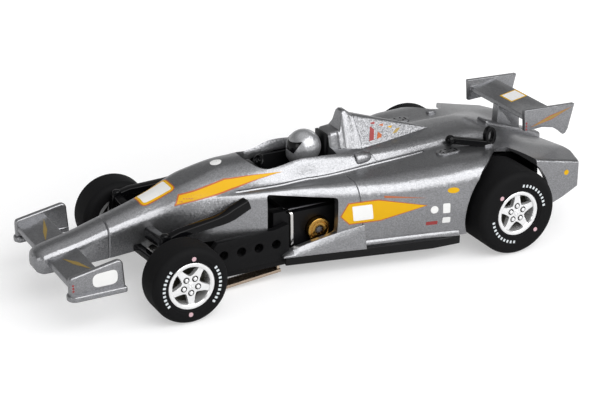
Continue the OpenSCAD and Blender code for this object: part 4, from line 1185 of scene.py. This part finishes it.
for axle, carrier, side, spoke, _ in WHEELS:
    word = "left" if side > 0 else "right"
    node = f"{axle}_wheel_{word}"
    low, high = node_box(node)
    x, z = (low.x + high.x) / 2, (low.z + high.z) / 2
    near, far = sorted((abs(low.y), abs(high.y)))
    r = RIM_R - 0.01
    face_out, face_in = far - FACE_SET, far - FACE_DEEP
    face = prism(node + "_face", disc(x, z, r - 0.2), "y", *across(side, face_in, face_out), chrome)
    for k in range(SPOKES):
        cut = wheel_window(x, z, k, spoke, r - 0.38, 0.4 * r)
        combine(face, prism("window", cut, "y", *across(side, near - 1, far + 1), chrome))
    soften(face, 0.1, 3)
    lugs = []
    for k in range(SPOKES):
        a = math.radians(spoke + k * 360 / SPOKES)
        lx, lz = x + LUG_AT * math.cos(a), z + LUG_AT * math.sin(a)
        # Each pocket's walls and floor take the near-black wheel finish, a painted shade in the recess.
        pocket = disc(lx, lz, POCKET_R, 28)
        combine(face, prism("pocket", pocket, "y", *across(side, face_out - POCKET_DEEP, far + 1), wheel_painted_shade))
        cone = [(face_out - 0.35, 0), (face_out - 0.35, 0.27), (face_out + 0.06, 0.25)]
        cone += arc(face_out + 0.06, 0.1, 0.15, 90, 0, 4) + [(face_out + 0.21, 0)]
        lugs.append(spin("lug", cone, (lx, 0, lz), (0, side, 0), 20, chrome))
    boss = [(face_out - 0.1, 0), (face_out - 0.1, 0.42), (face_out + 0.08, 0.38), (face_out + 0.12, 0.3)]
    boss += [(face_out + 0.12, 0.16), (face_out - 0.02, 0.12), (face_out - 0.02, 0)]
    lugs.append(spin("boss", boss, (x, 0, z), (0, side, 0), 32, chrome))
    rim = [(near, r), (far - 0.12, r)] + arc(far - 0.14, r - 0.14, 0.14, 90, 0, 4)
    rim += arc(far - 0.22, r - 0.36, 0.22, 0, -90, 5)
    rim += [(far - 0.45, r - 0.6), (near + 0.1, r - 0.5), (near, r - 0.42)]
    wheel = spin(node + "_rim", rim, (x, 0, z), (0, side, 0), 96, chrome)
    combine(wheel, face, "UNION")
    place(wheel, carrier, replaces=[node])
    place(gather(node + "_lugs", lugs), carrier)
    # A near-black disc stands behind the face so that the windows read dark: a sheet of painted shade.
    back = [(near, 0.8), (near, 1.4), (far - 2.1, 1.4), (far - 2.1, r - 0.5), (far - 1.7, r - 0.5)]
    back += [(far - 1.7, 0), (far - 2.0, 0), (far - 2.0, 0.8)]
    place(spin(node + "_back", back, (x, 0, z), (0, side, 0), 64, wheel_painted_shade), carrier)
print("wheels:", len(WHEELS))

# %% [markdown]
# ## Printed stripes and panels
# The toy's colours are printed on: slim straight yellow stripes edged in orange, small marks in other inks, and
# blank white panels. Each print is a thin patch. Its outline is drawn in side or top view, cut into a grid and
# dropped onto the surface below it.

# %% Prints
VIEWS = {
    "left": (lambda a, b: Vector((a, REACH, b)), Vector((0, -1, 0))),
    "right": (lambda a, b: Vector((a, -REACH, b)), Vector((0, 1, 0))),
    "top": (lambda a, b: Vector((a, b, REACH)), Vector((0, 0, -1)))}
PRINT_GRID = 0.3
PRINT_T = 0.012
PRINT_LIFT, LAYER_LIFT = 0.016, 0.01


def printed(name, onto, outline, view, material, layer=0):
    """A printed patch on a piece: later layers lie over earlier ones."""
    spread, ray = VIEWS[view]
    bm = bmesh.new()
    bm.faces.new([bm.verts.new(spread(*p)) for p in outline])
    for axis in range(3):
        if abs(ray[axis]) > 0.5:
            continue
        normal = [0, 0, 0]
        normal[axis] = 1
        values = [v.co[axis] for v in bm.verts]
        for cut in np.arange(min(values) + PRINT_GRID / 2, max(values), PRINT_GRID):
            at = [0, 0, 0]
            at[axis] = cut
            whole = bm.verts[:] + bm.edges[:] + bm.faces[:]
            bmesh.ops.bisect_plane(bm, geom=whole, plane_co=at, plane_no=normal)
    bmesh.ops.triangulate(bm, faces=bm.faces)
    for v in bm.verts:
        hit, normal, _, _ = faces_of[onto].ray_cast(v.co, ray)
        if hit is None:
            raise RuntimeError(f"{name} runs off {onto} at {tuple(v.co)}")
        v.co = hit + normal * (PRINT_LIFT + LAYER_LIFT * layer)
    bmesh.ops.recalc_face_normals(bm, faces=bm.faces)
    bmesh.ops.solidify(bm, geom=bm.faces[:], thickness=PRINT_T)
    mesh = bpy.data.meshes.new(name)
    bm.to_mesh(mesh)
    bm.free()
    obj = bpy.data.objects.new(name, mesh)
    scene.collection.objects.link(obj)
    return place(obj, "car", material, sharp=60)


def grown(outline, by):
    """An outline moved outward by a distance, for the edge line round a print."""
    count = len(outline)
    pts = [np.array(p, float) for p in outline]
    area = sum(pts[i - 1][0] * pts[i][1] - pts[i][0] * pts[i - 1][1] for i in range(count))
    way = 1 if area > 0 else -1
    made = []
    for i in range(count):
        a, b, c = pts[i - 1], pts[i], pts[(i + 1) % count]
        normals = []
        for p, q in ((a, b), (b, c)):
            d = (q - p) / np.linalg.norm(q - p)
            normals.append(way * np.array((d[1], -d[0])))
        out = normals[0] + normals[1]
        out = out / max(np.dot(out, out) / 2, 0.25)
        made.append(tuple(b + out * by))
    return made


def edged(name, onto, outline, view, material, edge=ink_orange, by=0.13):
    printed(name + "_edge", onto, grown(outline, by), view, edge)
    printed(name, onto, outline, view, material, 1)


nose_panel = rounded([(22.3, 1.15), (22.3, -1.15), (18.7, -1.35), (18.7, 1.35)], 0.3)
edged("nose_panel_ground", "body", grown(nose_panel, 0.3), "top", ink_yellow)
printed("nose_panel", "body", nose_panel, "top", ink_white, 2)
printed("cowl_disc", "body", disc(12.2, 0.1, 0.72, 32), "top", ink_white)
cowl_blade = [(18.9, 10.9), (18.3, 11.8), (12.5, 12.95), (5.0, 12.9), (12.0, 12.15)]
pod_blade = [(-0.7, 7.5), (-1.7, 9.0), (-5.4, 9.1), (-11.4, 7.8), (-5.6, 6.55), (-1.7, 6.45)]
pod_panel = rounded([(-2.2, 6.75), (-2.1, 8.65), (-4.6, 8.7), (-4.7, 6.8)], 0.15)
pod_streak = [(-6.2, 9.35), (-6.2, 9.6), (-11.6, 8.75)]
for view in ("left", "right"):
    edged(f"cowl_blade_{view}", "body", cowl_blade, view, ink_yellow)
    edged(f"pod_blade_{view}", "body", pod_blade, view, ink_yellow)
    printed(f"pod_panel_{view}", "body", pod_panel, view, ink_white, 2)
    printed(f"pod_line_{view}", "body", pod_streak, view, ink_orange)
    for k, ink in enumerate((ink_red, ink_orange, ink_yellow, ink_gold)):
        x = -8.4 - 1.3 * k
        top = 15.75 - 0.5 * k
        slash = [(x, 13.8), (x - 0.75, 13.8), (x - 1.55, top), (x - 0.8, top)]
        printed(f"cover_slash_{k}_{view}", "body", slash, view, ink)
    stickers = [
        ("disc", disc(-12.5, 7.1, 0.5, 28), ink_white),
        ("tall", rounded([(-13.6, 6.5), (-13.6, 7.8), (-14.5, 7.8), (-14.5, 6.5)], 0.15), ink_white),
        ("wide", rounded([(-11.5, 5.0), (-11.5, 5.5), (-13.0, 5.5), (-13.0, 5.0)], 0.12), ink_red),
        ("low", rounded([(-13.6, 5.1), (-13.6, 5.9), (-14.6, 5.9), (-14.6, 5.1)], 0.15), ink_white),
        ("oval", [(-15.0 + 0.75 * p, 9.4 + 0.36 * q) for p, q in disc(0, 0, 1, 28)], ink_yellow),
        ("tail", disc(-32.1, 8.6, 0.36, 24), ink_yellow)]
    for word, outline, ink in stickers:
        printed(f"sticker_{word}_{view}", "body", outline, view, ink)
    end_panel = rounded([(32.5, 5.65), (32.5, 7.3), (29.4, 7.5), (29.4, 5.65)], 0.8, 8)
    printed(f"endplate_panel_{view}", "nose", end_panel, view, ink_white)
    streak = [(rx(-6.7), 13.55), (rx(-9.6), 14.55), (rx(-13.0), 15.3), (rx(-9.9), 14.2)]
    edged(f"wing_streak_{view}", "rear_wing", streak, view, ink_gold, ink_orange, 0.1)
    square = disc(0, 0, 0.17, 4)
    for k in range(3):
        z = 5.75 + 0.36 * k
        printed(f"front_dot_{k}_{view}", "nose", [(fx(13.35) + p, z + q) for p, q in square], view, ink_red)
        z = 13.36 + 0.42 * k
        printed(f"rear_dot_{k}_{view}", "rear_wing", [(rx(-6.0) + p, z + q) for p, q in square], view, ink_red)
wing_panel = [(rx(-7.6), 1.2), (rx(-7.6), -1.2), (rx(-9.7), -1.2), (rx(-9.7), 1.2)]
printed("wing_panel_edge", "rear_wing", grown(wing_panel, 0.2), "top", ink_yellow)
printed("wing_panel", "rear_wing", wing_panel, "top", ink_white, 1)
plane_streak = [(fx(12.1), 2.9), (fx(11.6), 5.2), (fx(10.4), 8.3), (fx(11.0), 5.3)]
for word, side in (("left", 1), ("right", -1)):
    outline = [(x, side * y) for x, y in plane_streak]
    printed(f"plane_streak_{word}", "nose", outline, "top", ink_gold)
print("prints done")
